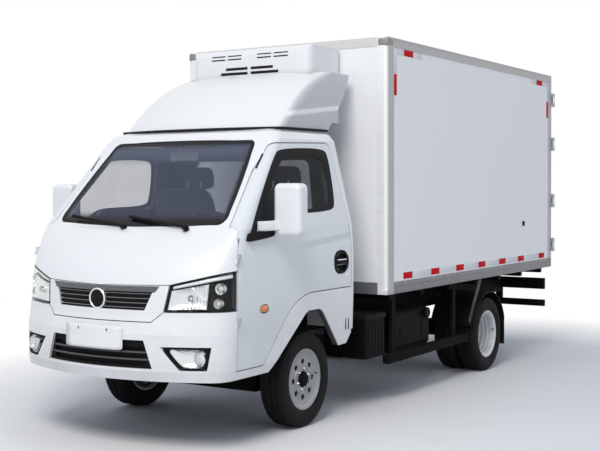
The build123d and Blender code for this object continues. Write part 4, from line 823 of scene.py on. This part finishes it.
def onFlank(loops, lifts):
    # rows of (y, z) outlines laid on the flank and lifted off it
    y, z = loops[..., 0], loops[..., 1]
    return [(points(sideX(z) + np.asarray(lifts)[:, None], y + frontAxle, z), False, True)]


def drawnIn(outer, inner, shares):
    # rows between an outer and an inner outline
    return outer + (inner - outer) * np.asarray(shares)[:, None, None]


outer, inner = softLoop(window["outer"], window["outerRound"]), softLoop(window["inner"], window["innerRound"])
windowSeal = onFlank(drawnIn(outer, inner, (0, 0, 0.12, 0.4, 0.7, 0.94, 1, 1)),
                     (-0.003, 0.001, 0.0022, 0.0022, 0.0022, 0.0022, 0.001, -0.007))
outer = softLoop(mirrorFootCorners, 0.012, 3)
mirrorFoot = onFlank(drawnIn(outer, outer.mean(0), (0, 0, 0.03, 0.5, 1)), (-0.002, 0.02, 0.024, 0.025, 0.025))
mirrorArm = [swept(np.array(mirrorArmPath) + np.array((0, frontAxle, 0)), 0.05, 0.06, 20, power=5)]
a, b, _ = roundPatch(0.186, 0.16, 2.6, 3, 56)
ringX, ringShare = np.array([(0.797, 1), (0.8012, 0.985), (0.8012, 0.8), (0.797, 0.79)]).T[:, :, None]
ring = points(ringX, frontAxle + handle["ringY"] + a[:1] * ringShare, handle["ringZ"] + b[:1] * ringShare)
handleY = frontAxle + handle["y"]
a, b, share = roundPatch(0.172, 0.124, 2.6, 10, 56)
cup = points(0.7992 - handle["cupDeep"] * np.clip((1 - share) / 0.22, 0, 1) ** 0.7, handleY + a, handle["z"] + b)
cupRim = swept(points(0.7995, handleY + a[0], handle["z"] + b[0]), 0.008, 0.004, 8, (1, 0, 0), True)
grip = block((0.7955, handleY, 1.053), (0.009, 0.152, 0.036), 0.0042)
gripEdge = block((0.7993, handleY, 1.067), (0.004, 0.12, 0.007), 0.0018)
keyPlace = (0.7995, frontAxle + handle["keyY"], handle["keyZ"])
keyBarrel = turned([(0.0, 0.011), (0.0022, 0.011), (0.003, 0.009), (0.003, 0)], keyPlace, 0, 24)
a, b, share = roundPatch(0.088, 0.044, 2.4, 8, 40)
lampY, lampZ = frontAxle + sideLampAt["y"], sideLampAt["z"]
bulge = sideLampAt["base"] + sideLampAt["bulge"] * np.sqrt(np.clip(1 - share ** 2, 0, 1))
sideLamp = points(bulge, lampY + a, lampZ + b)
lampFoot = swept(points(0.7965, lampY + a[0] * 1.06, lampZ + b[0] * 1.1), 0.008, 0.006, 8, (1, 0, 0), True)
a, b, share = roundPatch(0.158, 0.286, 6, 6, 64)
mirrorGlass = points(mirror["x"] + a, mirror["face"] + 0.002 * (1 - share ** 2), mirror["z"] + b)
sealPath = points(mirror["x"] + a[0], mirror["face"] + 0.0005, mirror["z"] + b[0])
doorPieces = [
    ("windowSeal", windowSeal, sealBlack, "black_plastic"),
    ("handleCup", [(cup, False, True), cupRim, (ring, False, True)], blackPlastic, "black_plastic"),
    ("mirrorFoot", mirrorFoot, blackPlastic, "black_plastic"),
    ("mirrorArm", mirrorArm, mirrorWhite, "cab_white"),
    ("handleGrip", [grip], blackPlastic, "black_plastic"),
    ("handleEdge", [gripEdge], chrome, "stainless"),
    ("keyBarrel", [keyBarrel], chrome, "stainless"),
    ("sideLamp", [(sideLamp, False, True)], amber, "lamp_red"),
    ("sideLampFoot", [lampFoot], sealBlack, "black_plastic"),
    ("mirrorGlass", [(mirrorGlass, False, True)], silverGlass, "stainless"),
    ("mirrorSeal", [swept(sealPath, 0.009, 0.005, 8, (0, 1, 0), True)], sealBlack, "black_plastic")]
for name, grids, finish, slot in doorPieces:
    makePiece(name + "_left", grids, finish, "cab_door_left", 45)
    makePiece(name + "_right", mirrored(grids), finish, "cab_door_right", 45)
print("cab doors done")

# roof and screen: gasket round the foot of the fairing, screen seal, pillar slots, wiper caps
gasket = dict(half=0.646, nose=-0.268, cheek=-0.165, back=0.425, sideFrom=0.1, z=1.9285, rise=0.004, riseFrom=-0.27,
              riseOver=0.6)
g = gasket
arcX = g["half"] * np.sin(np.linspace(-1, 1, 81) * np.pi / 2)
arcY = g["nose"] + (g["cheek"] - g["nose"]) * np.abs(arcX / g["half"]) ** 2.4
gasketX = np.concatenate([[-g["half"], -g["half"]], arcX, [g["half"], g["half"]]])
gasketY = np.concatenate([[g["back"], g["sideFrom"]], arcY, [g["sideFrom"], g["back"]]])
gasketZ = g["z"] + g["rise"] * np.clip((gasketY - g["riseFrom"]) / g["riseOver"], 0, 1)
gasketPath = points(gasketX, gasketY + frontAxle, gasketZ)
makePiece("roofGasket", [swept(gasketPath, 0.022, 0.018)], sealBlack, sharp=60)
s = screen
screenX, screenZ = softLoop([(-s["footHalf"], s["foot"]), (0, s["footMiddle"]), (s["footHalf"], s["foot"]),
                             (s["topHalf"], s["top"]), (-s["topHalf"], s["top"])], s["round"]).T
screenPath = points(screenX, frontY(screenX, screenZ) + 0.002, screenZ)
screenSeal = [swept(screenPath, 0.014, 0.01, 8, (0, -0.74, 0.67), True)]
makePiece("screenSeal", screenSeal, sealBlack, sharp=60)
slotX, slotZ = np.linspace(0.67, 0.663, 9), np.linspace(1.668, 1.758, 9)
slots = [swept(points(slotX, frontY(slotX, slotZ) + 0.0005, slotZ), 0.011, 0.004, 10, (0.35, -0.75, 0.55))]
makePiece("pillarSlots", both(slots), sealBlack, sharp=60)
capProfile = [(-0.004, 0.021), (0.01, 0.021), (0.017, 0.016), (0.02, 0.008), (0.02, 0)]
wiperCaps = [turned(capProfile, (x, noseY + 0.366, 1.304), 2, 28) for x in (-0.06, 0.42)]
makePiece("wiperCaps", wiperCaps, blackPlastic, sharp=45)
print("roof and screen done")

# wheels: nuts, hub covers, disc and flange beads, valves; profiles run outwards from the disc as (along, radius)
frontTrim = dict(disc=0.708, nutRing=0.068, rim=frontRim, hub=chassisBlack, cover=[
    (-0.002, 0.052), (0.004, 0.052), (0.006, 0.047), (0.016, 0.043), (0.021, 0.036), (0.0225, 0.02), (0.023, 0)],
    dish=[(-0.0005, 0.1), (0.0035, 0.098), (0.0045, 0.092), (0.0045, 0.086), (0.0035, 0.08), (-0.0005, 0.079)])
rearTrim = dict(disc=0.6785, nutRing=0.098, rim=rimSilver, hub=rimSilver, cover=[
    (-0.001, 0.072), (0.03, 0.07), (0.036, 0.064), (0.036, 0.05), (0.058, 0.047), (0.064, 0.042), (0.066, 0.0)],
    dish=[(-0.0005, 0.128), (0.005, 0.126), (0.006, 0.12), (0.006, 0.116), (0.0005, 0.114), (-0.0005, 0.113)])
rimSteps = [(0.058, 0.1672), (0.05, 0.1665), (0.047, 0.162), (0.018, 0.16), (0.014, 0.1545), (-0.014, 0.1525),
            (-0.018, 0.1465), (-0.046, 0.1445), (-0.05, 0.138), (-0.076, 0.136), (-0.0795, 0.128)]
flangeLip = [(0.0, 0.196), (0.004, 0.197), (0.0055, 0.1945), (0.004, 0.191), (-0.002, 0.1885), (-0.006, 0.19),
             (-0.004, 0.195)]
valvePath = [(0.045, 0.166, 0.02), (0.058, 0.163, 0.02), (0.071, 0.158, 0.02)]
nutCount, nutTurn, flangeOut = 6, 0.3, 0.071


def onWheel(profile, side, x, y, count):
    # a profile turned about the axle at y, its outside towards the wheel's own side
    return [turned(np.array(profile) * (side, 1), (side * x, y, wheelHeight), 0, count)]


for corner, wheelWord, tyreWord, side, y, places in wheelPlaces:
    trim, body = (frontTrim if len(places) == 1 else rearTrim), corner + "_" + wheelWord
    angle = np.arange(nutCount) * 2 * np.pi / nutCount + nutTurn
    disc, ring = trim["disc"], trim["nutRing"]
    spots = points(side * disc, y + ring * np.cos(angle), wheelHeight + ring * np.sin(angle))
    nuts = domes(spots, 0.0125, 0.011, (side, 0, 0), 2, 6)
    studs = domes(spots + np.array((side * 0.008, 0, 0)), 0.006, 0.009, (side, 0, 0))
    makePiece(corner + "_wheelNuts", nuts + studs, stainless, body, 25)
    if trim is rearTrim:
        steps = onWheel(rimSteps, side, places[0], y, 72)
        makePiece(corner + "_rimSteps", steps, rimSilver, body, 25)
    hubCover = onWheel(trim["cover"], side, disc, y, 48)
    makePiece(corner + "_hubCover", hubCover, trim["hub"], body, 40)
    makePiece(corner + "_discBead", onWheel(trim["dish"], side, disc, y, 64), trim["rim"], body, 40)
    lip = onWheel(flangeLip, side, places[0] + flangeOut, y, 72)
    makePiece(corner + "_flangeBead", lip, trim["rim"], body, 60)
    stem = (np.array(valvePath) + np.array((places[0], 0, 0))) * (side, 1, 1) + np.array((0, y, wheelHeight))
    makePiece(corner + "_valve", [swept(stem, 0.009, 0.009)], sealBlack, body, 60)
print("wheel trim done")

# warning tape on the box: reds with white between them along the foot, and in an angle at the upper corners
tape = dict(z=0.9085, high=0.048, long=0.15, gap=0.004, skin=0.8665, redThick=0.0022, whiteThick=0.002,
            places=(1.222, 1.7, 2.17, 2.625, 3.087, 3.537, 4.079))
tapeAngle = dict(front=0.105, rear=0.085, z=2.52, wide=0.045, redIn=0.24, whiteIn=(0.09, 0.39), whiteLong=0.146,
                 uprightIn=0.024, uprightRed=2.28, uprightWhite=2.427, uprightWhiteLong=0.136)


def tapeStrip(side, y, z, long, high, thick):
    # a strip of tape on the skin of one side
    return block((side * tape["skin"], y, z), (thick, long, high), 0.0009, 2)


tapeY = np.array(tape["places"]) + frontAxle
gapY, gapLong = (tapeY[1:] + tapeY[:-1]) / 2, np.diff(tapeY) - tape["long"] - tape["gap"]
long, high, red, white = tape["long"], tape["high"], tape["redThick"], tape["whiteThick"]
t, wide = tapeAngle, tapeAngle["wide"]
reds, whites = [], []
for side in (1, -1):
    reds += [tapeStrip(side, y, tape["z"], long, high, red) for y in tapeY]
    whites += [tapeStrip(side, y, tape["z"], gap, high, white) for y, gap in zip(gapY, gapLong)]
    for y, way in ((boxFront + t["front"], 1), (boxRear - t["rear"], -1)):
        upright = y + way * t["uprightIn"]
        reds.append(tapeStrip(side, y + way * t["redIn"], t["z"], long, wide, red))
        whites += [tapeStrip(side, y + way * d, t["z"], t["whiteLong"], wide, white) for d in t["whiteIn"]]
        reds.append(tapeStrip(side, upright, t["uprightRed"], wide, long, red))
        whites.append(tapeStrip(side, upright, t["uprightWhite"], wide, t["uprightWhiteLong"], white))
makePiece("redTape", reds, tapeRed)
makePiece("whiteTape", whites, tapeWhite)

# box edges: rivets, corner and foot caps, ribs along the rails
rivet = dict(radius=0.0052, height=0.0024, rails=(0.862, 2.556), frontPost=0.088, rearPost=0.066, frontX=0.802)
alongY, upZ = np.arange(boxFront + 0.16, boxRear - 0.1, 0.125), np.arange(0.95, 2.5, 0.14)
rivets = []
for side in (1, -1):
    x = side * boxHalf
    rows = [points(x, alongY, z) for z in rivet["rails"]]
    rows += [points(x, y, upZ) for y in (boxFront + rivet["frontPost"], boxRear - rivet["rearPost"])]
    rivets += domes(np.concatenate(rows), rivet["radius"], rivet["height"], (side, 0, 0))
    rivets += domes(points(side * rivet["frontX"], boxFront, upZ), rivet["radius"], rivet["height"], (0, -1, 0))
makePiece("boxRivets", rivets, stainless, sharp=40)
cornerCaps = pairOf((0.829, boxFront + 0.049, 2.5755), (0.087, 0.106, 0.067), 0.02, 4)
footCaps = pairOf((0.83, boxFront + 0.05, 0.813), (0.085, 0.104, 0.05), 0.018, 4)
makePiece("boxCornerCaps", cornerCaps, cornerCast)
makePiece("boxFootCaps", footCaps, alloy)
railRibs = []
for z in (0.801, 0.838, 2.6):
    middle, long = (boxFront + boxRear) / 2 + 0.01, boxRear - boxFront - 0.19
    railRibs += pairOf((boxHalf + 0.0005, middle, z), (0.003, long, 0.007), 0.0012, 2)
makePiece("railRibs", railRibs, alloy)
print("box side done")

# cooling unit: dark sheets in its slots as painted shade in the recesses; a small plug on the left skin
unit = dict(face=frontAxle + 0.446, upperX=(-0.265, -0.125, 0.125, 0.265), upperZ=(2.495, 2.47),
            upper=(0.118, 0.008, 0.0092), lowerLong=(0.19, 0.235, 0.262, 0.275, 0.275), lowerTop=2.4,
            lowerStep=0.034, middle=0.012)
# dark sheets at the bottom of the slots: painted shade
slotShadeY = unit["face"] + 0.004
slotShades = [block((x, slotShadeY, z), unit["upper"], 0.002, 2) for x in unit["upperX"] for z in unit["upperZ"]]
for i, long in enumerate(unit["lowerLong"]):
    place = (long / 2 + unit["middle"], slotShadeY, unit["lowerTop"] - i * unit["lowerStep"])
    slotShades += pairOf(place, (long - 0.002, 0.008, 0.0185), 0.003, 2)
makePiece("unitSlotShades", slotShades, sealBlack)
plug = block((boxHalf - 0.0025, 2.03, 1.221), (0.005, 0.055, 0.042), 0.002)
makePiece("sidePlug", [plug], blackPlastic)

# box doors: rubber seals, lever grips, strap bolts, rod guides; all ride their own leaf
leaf = dict(outline=[(0.016, 0.893), (0.781, 0.893), (0.781, 2.501), (0.016, 2.501)], round=0.03,
            straps=(1.0, 1.42, 1.96, 2.38), boltX=(0.6, 0.68, 0.74), boltUp=0.014, rod=0.13,
            guides=(0.968, 1.348, 1.518, 2.078, 2.458), guideScrew=0.038, leverZ=1.428, gripX=0.385, catchX=0.44)
sealX, sealZ = softLoop(leaf["outline"], leaf["round"], 3).T
leafSeal = [swept(points(sealX, boxRear + 0.001, sealZ), 0.018, 0.01, 8, (0, 1, 0), True)]
leverGrip = [block((leaf["gripX"], boxRear + 0.03, leaf["leverZ"]), (0.12, 0.0175, 0.032), 0.008)]
boltSpots = [(x, boxRear + 0.0125, z + dz) for z in leaf["straps"] for x in leaf["boltX"]
             for dz in (-leaf["boltUp"], leaf["boltUp"])]
guideSpots = [(leaf["rod"] + dx, boxRear + 0.0075, z) for z in leaf["guides"]
              for dx in (-leaf["guideScrew"], leaf["guideScrew"])]
strapBolts = domes(boltSpots, 0.008, 0.005, (0, 1, 0), 2, 6) + domes(guideSpots, 0.006, 0.004, (0, 1, 0), 2, 6)
rodGuides = [block((leaf["rod"], boxRear + 0.004, z), (0.105, 0.008, 0.03), 0.003) for z in leaf["guides"]]
rodGuides += [block((leaf["catchX"], boxRear + 0.012, leaf["leverZ"]), (0.05, 0.024, 0.07), 0.006),
              block((leaf["catchX"], boxRear + 0.03, leaf["leverZ"] - 0.026), (0.04, 0.016, 0.012), 0.004)]
leafPieces = [
    ("leafSeal", leafSeal, sealBlack, "black_plastic", 50), ("leverGrip", leverGrip, sealBlack, "black_plastic", 50),
    ("strapBolts", strapBolts, stainless, "stainless", 30), ("rodGuides", rodGuides, stainless, "stainless", 50)]
for hand in ("left", "right"):
    for name, grids, finish, slot, sharp in leafPieces:
        sided = grids if hand == "left" else mirrored(grids)
        makePiece(name + "_" + hand, sided, finish, "box_door_" + hand, sharp)
print("box doors done")

# rear: sectioned tail lamps, bare plate, buffers and reflectors on the bar
rear = dict(board=2.72, lampX=0.63, lampZ=0.628, plateZ=0.452, barZ=0.443)
lampSections = [("tailAmber", amber, 0.725, 0.086), ("tailRed", redLens, 0.63, 0.092),
                ("tailClear", clearLens, 0.538, 0.08)]
board = rear["board"]
housings = pairOf((rear["lampX"], board + 0.006, rear["lampZ"]), (0.3, 0.013, 0.088), 0.006)
makePiece("tailLampHousings", housings, blackPlastic, stands=("tail_lamps",))
for name, finish, x, wide in lampSections:
    makePiece(name, pairOf((x, board + 0.018, rear["lampZ"]), (wide, 0.016, 0.072), 0.007, 4), finish)
a, b, _ = roundPatch(0.43, 0.112, 16, 5, 96)
rearPlate = [(points(a, board + 0.0035, rear["plateZ"] + b), False, True)]
makePiece("rearPlate", rearPlate, plateWhite, sharp=60, shell=0.0014)
bracket = block((0, board + 0.0012, rear["plateZ"]), (0.4, 0.003, 0.1), 0.0012)
makePiece("rearPlateBracket", [bracket], chassisBlack)
buffers = pairOf((0.76, board + 0.012, rear["barZ"]), (0.09, 0.026, 0.052), 0.01, 4)
makePiece("barBuffers", buffers, sealBlack)
reflectors = pairOf((0.5, board + 0.004, rear["barZ"]), (0.09, 0.01, 0.034), 0.004)
makePiece("barReflectors", reflectors, redLens)

# left side below: tank straps and cap, battery lid with its ribs
tank = dict(outline=[(0.434, 0.329), (0.766, 0.329), (0.766, 0.631), (0.434, 0.631)], round=0.05, middle=(0.6, 0.48),
            straps=(1.31, 1.67), cap=(0.764, 1.72, 0.585))
battery = dict(x=0.62, y=0.86, lidZ=0.637, ribX=0.791, ribZ=0.48, ribs=(-0.1, -0.05, 0, 0.05, 0.1))
tankX, tankZ = softLoop(tank["outline"], tank["round"]).T
outwards = points(tankX - tank["middle"][0], 0, tankZ - tank["middle"][1])
straps = [swept(points(tankX, frontAxle + y, tankZ), 0.042, 0.004, 8, outwards, True, 4.0) for y in tank["straps"]]
makePiece("tankStraps", straps, chassisBlack)
capProfile = [(0.0, 0.036), (0.018, 0.036), (0.022, 0.042), (0.03, 0.042), (0.034, 0.038), (0.034, 0)]
capPlace = np.array(tank["cap"]) + np.array((0, frontAxle, 0))
makePiece("tankCap", [turned(capProfile, capPlace, 0, 32)], blackPlastic, sharp=40)
batteryY = frontAxle + battery["y"]
lid = [block((battery["x"], batteryY, battery["lidZ"]), (0.352, 0.312, 0.036), 0.01, 4)]
lid += [block((battery["ribX"], batteryY + dy, battery["ribZ"]), (0.006, 0.012, 0.25), 0.0025)
        for dy in battery["ribs"]]
makePiece("batteryLid", lid, blackPlastic)

# guards: ribs and end caps on the side rails, stays, hems and edges on the mudguards
guard = dict(x=0.8255, y=1.72, long=1.4, ribs=(0.294, 0.318, 0.342), endX=0.8, ends=(1.007, 2.433), endZ=0.318)
mudguard = dict(stayX=0.838, stay=[(2.43, 0.44), (2.5, 0.548), (2.66, 0.786)], flapX=0.673, flapY=0.341, hemZ=0.2,
                radius=0.355, edges=(0.86, 0.486), first=17, last=163)
guardParts = []
for z in guard["ribs"]:
    guardParts += pairOf((guard["x"], frontAxle + guard["y"], z), (0.004, guard["long"], 0.012), 0.0018)
for y in guard["ends"]:
    guardParts += pairOf((guard["endX"], frontAxle + y, guard["endZ"]), (0.056, 0.012, 0.072), 0.005)
makePiece("guardRibs", guardParts, chassisBlack)
stayY, stayZ = np.array(mudguard["stay"]).T
stays = [swept(points(side * mudguard["stayX"], frontAxle + stayY, stayZ), 0.006, 0.052, 8, (0, 1, 0), False, 5.0)
         for side in (1, -1)]
makePiece("mudguardStays", stays, stayGrey, sharp=40)
hems = pairOf((mudguard["flapX"], rearAxle + mudguard["flapY"], mudguard["hemZ"]), (0.376, 0.012, 0.03), 0.005)
makePiece("flapHems", hems, sealBlack)
angle = np.linspace(np.radians(mudguard["first"]), np.radians(mudguard["last"]), 60)
edgeY, edgeZ = rearAxle + mudguard["radius"] * np.cos(angle), wheelHeight + mudguard["radius"] * np.sin(angle)
edges = [swept(points(side * x, edgeY, edgeZ), 0.012, 0.012, 8, (1, 0, 0))
         for side in (1, -1) for x in mudguard["edges"]]
makePiece("mudguardEdges", edges, blackPlastic, sharp=60)

# frame: bolts along the rails; vents in the cab's side panels
railX, railRows, ventZ = 0.408, (0.57, 0.65), 0.63
railY = np.arange(frontAxle - 0.8, 2.6, 0.16)
bolts = []
for side in (1, -1):
    spots = np.concatenate([points(side * railX, railY, z) for z in railRows])
    bolts += domes(spots, 0.009, 0.006, (side, 0, 0), 2, 6)
makePiece("railBolts", bolts, chassisBlack, sharp=30)
vents = []
for y in (0.42, 0.458):
    vents += pairOf((float(sideX(ventZ)) - 0.0005, frontAxle + y, ventZ), (0.006, 0.01, 0.075), 0.002)
makePiece("panelVents", vents, sealBlack)
print("rear and underside done")

# seats: cushion, back and head rest as crowned pads with sewn channels, on their frames
seat = dict(x=0.365, channels=(-0.14, 0.14), seamDeep=0.007, seamWide=0.008, postX=0.06)
# cushion, back and head rest: y from the front axle, z, size, tilt, power, crown, channels
seatRows = [(-0.11, 1.012, (0.49, 0.48, 0.15), 0.02, 4.5, 0.012, seat["channels"]),
            (0.2, 1.29, (0.48, 0.53, 0.12), 1.83 - np.pi, 4.5, 0.012, seat["channels"]),
            (0.325, 1.615, (0.25, 0.16, 0.085), 1.75 - np.pi, 4.0, 0.008, ())]


def pad(centre, size, tilt, power, crown, channels):
    # a stuffed pad over latitude and longitude: a superellipsoid, crowned on top, drawn in along its sewn channels
    lat, lon = np.meshgrid(np.linspace(-np.pi / 2, np.pi / 2, 40), np.arange(72) * 2 * np.pi / 72, indexing="ij")
    shaped = lambda v: np.sign(v) * np.abs(v) ** (2 / power)
    girth = shaped(np.cos(lat))
    p = points(girth * shaped(np.cos(lon)), girth * shaped(np.sin(lon)), shaped(np.sin(lat)))
    x, y, z = p[..., 0], p[..., 1], p[..., 2]
    swell = crown * (1 - x ** 2) * (1 - y ** 2) * np.sign(z) * (np.abs(z) > 0.5)
    x, y, z = x * size[0] / 2, y * size[1] / 2, z * size[2] / 2 + swell
    for line in channels:
        z = z - seat["seamDeep"] * np.exp(-((x - line) / seat["seamWide"]) ** 2) * (z > 0)
    c, s = math.cos(tilt), math.sin(tilt)
    return points(x, y * c - z * s, y * s + z * c) + np.array(centre), False, True


pads, frames = [], pairOf((seat["x"], frontAxle - 0.09, 0.936), (0.46, 0.46, 0.012), 0.005)
for side in (1, -1):
    x = side * seat["x"]
    pads += [pad((x, frontAxle + y, z), *shape) for y, z, *shape in seatRows]
    frames += [swept([(x + dx, frontAxle + 0.262, 1.5), (x + dx, frontAxle + 0.29, 1.62)], 0.012, 0.012)
               for dx in (-seat["postX"], seat["postX"])]
cushions = makePiece("seatPads", pads, seatCloth, sharp=70, stands=("seats",))
makePiece("seatFrames", frames, stainless)

# over and under the screen: inside mirror, sun visors, dials and air vents
glassY = float(frontY(0, 1.8))
mirrorStem = [(0, glassY + 0.012, 1.795), (0, glassY + 0.04, 1.78), (0, glassY + 0.07, 1.76)]
insideMirror = [block((0, glassY + 0.075, 1.755), (0.23, 0.022, 0.062), 0.01), swept(mirrorStem, 0.016, 0.016)]
makePiece("insideMirror", insideMirror, paleGrey)
makePiece("sunVisors", pairOf((0.3, glassY + 0.13, 1.845), (0.36, 0.11, 0.016), 0.007), dashGrey)
dials = [block((0.365, frontAxle - 0.57, 1.29), (0.32, 0.12, 0.06), 0.025, 4)]
dials += [block((x, frontAxle - 0.482, 1.18), (0.13, 0.02, 0.05), 0.006) for x in (-0.55, -0.1, 0.1, 0.62)]
makePiece("dashBinnacle", dials, dashGrey)
print("inside done")

# camera at the photograph's place; the shift keeps the truck where it stands in that frame
view = dict(place=(4.4585, -7.7943, 1.5444), turn=(90 - 0.92, 0.13, 34.02), lens=67.427, shift=(0.0924, -0.0319))
camera = bpy.data.objects.new("camera", bpy.data.cameras.new("camera"))
camera.location = view["place"]
camera.rotation_euler = [math.radians(a) for a in view["turn"]]
camera.data.sensor_width, camera.data.lens = 36, view["lens"]
camera.data.shift_x, camera.data.shift_y = view["shift"]
camera.data.clip_end = 200
bpy.context.scene.collection.objects.link(camera)
bpy.context.scene.camera = camera


def lamp(name, place, aim, size, power, tint):
    # a square lamp at a place, turned so that its face looks at the aim
    data = bpy.data.lights.new(name, "AREA")
    data.size, data.energy, data.color = size, power, tint
    made = bpy.data.objects.new(name, data)
    made.location = place
    x, y, z = np.array(aim, float) - np.array(place, float)
    made.rotation_euler = (math.atan2(math.hypot(x, y), -z), 0, math.atan2(y, x) - math.pi / 2)
    bpy.context.scene.collection.objects.link(made)


lamp("skyLight", (2.7, -8.5, 8.4), (0, -0.6, 0.9), 4, 690, (1, 0.965, 0.92))
lamp("sideLight", (8, 3.5, 6.5), (0, 1.2, 1.6), 6, 25, (0.9, 0.95, 1))

# a soft bluish sky that lights the truck, seen as plain white
world = bpy.data.worlds.new("studio")
bpy.context.scene.world = world
world.use_nodes = True
sky = Nodes(world.node_tree)
background = sky.tree.nodes["Background"]
sky.feed(background.inputs["Color"], sky.mix(sky.seen(), (0.42, 0.465, 0.545), (1, 1, 1)))
background.inputs["Strength"].default_value = 1.0

# floor: middle and half sizes of the oval that keeps the shadow
ground = dict(reach=40, x=0.5, halfX=3.4, halfY=4.8, whiteFrom=0.88, soft=0.22)


def floorFinish():
    # pale floor that keeps the truck's shadow and turns plain white away from it
    f, k = Finish("paleFloor"), ground
    f.set(colour=f.mix(f.noise(2, 3), (0.84, 0.84, 0.84), (0.81, 0.81, 0.815)), rough=0.9, gloss=0.1)
    across, along = (f.x - k["x"]) / k["halfX"], f.y / k["halfY"]
    away = (across * across + along * along).math("SQRT").above(k["whiteFrom"], k["soft"])
    white = f.node("ShaderNodeEmission", {}, {"Color": (1, 1, 1), "Strength": 1.0})
    surfaces = {0: away * f.seen(), 1: Sock(f, f.shader.outputs[0]), 2: Sock(f, white.outputs[0])}
    blend = f.node("ShaderNodeMixShader", {}, surfaces)
    f.feed(f.tree.nodes["Material Output"].inputs["Surface"], Sock(f, blend.outputs[0]))
    return f.material


r = ground["reach"]
floorMesh = bpy.data.meshes.new("floor")
floorMesh.from_pydata([(-r, -r, 0), (r, -r, 0), (r, r, 0), (-r, r, 0)], [], [(0, 1, 2, 3)])
floorMesh.materials.append(floorFinish())
floor = bpy.data.objects.new("floor", floorMesh)
bpy.context.scene.collection.objects.link(floor)
bpy.context.scene.view_settings.view_transform = "Standard"
print("camera, light and floor done")

bpy.context.view_layer.update()
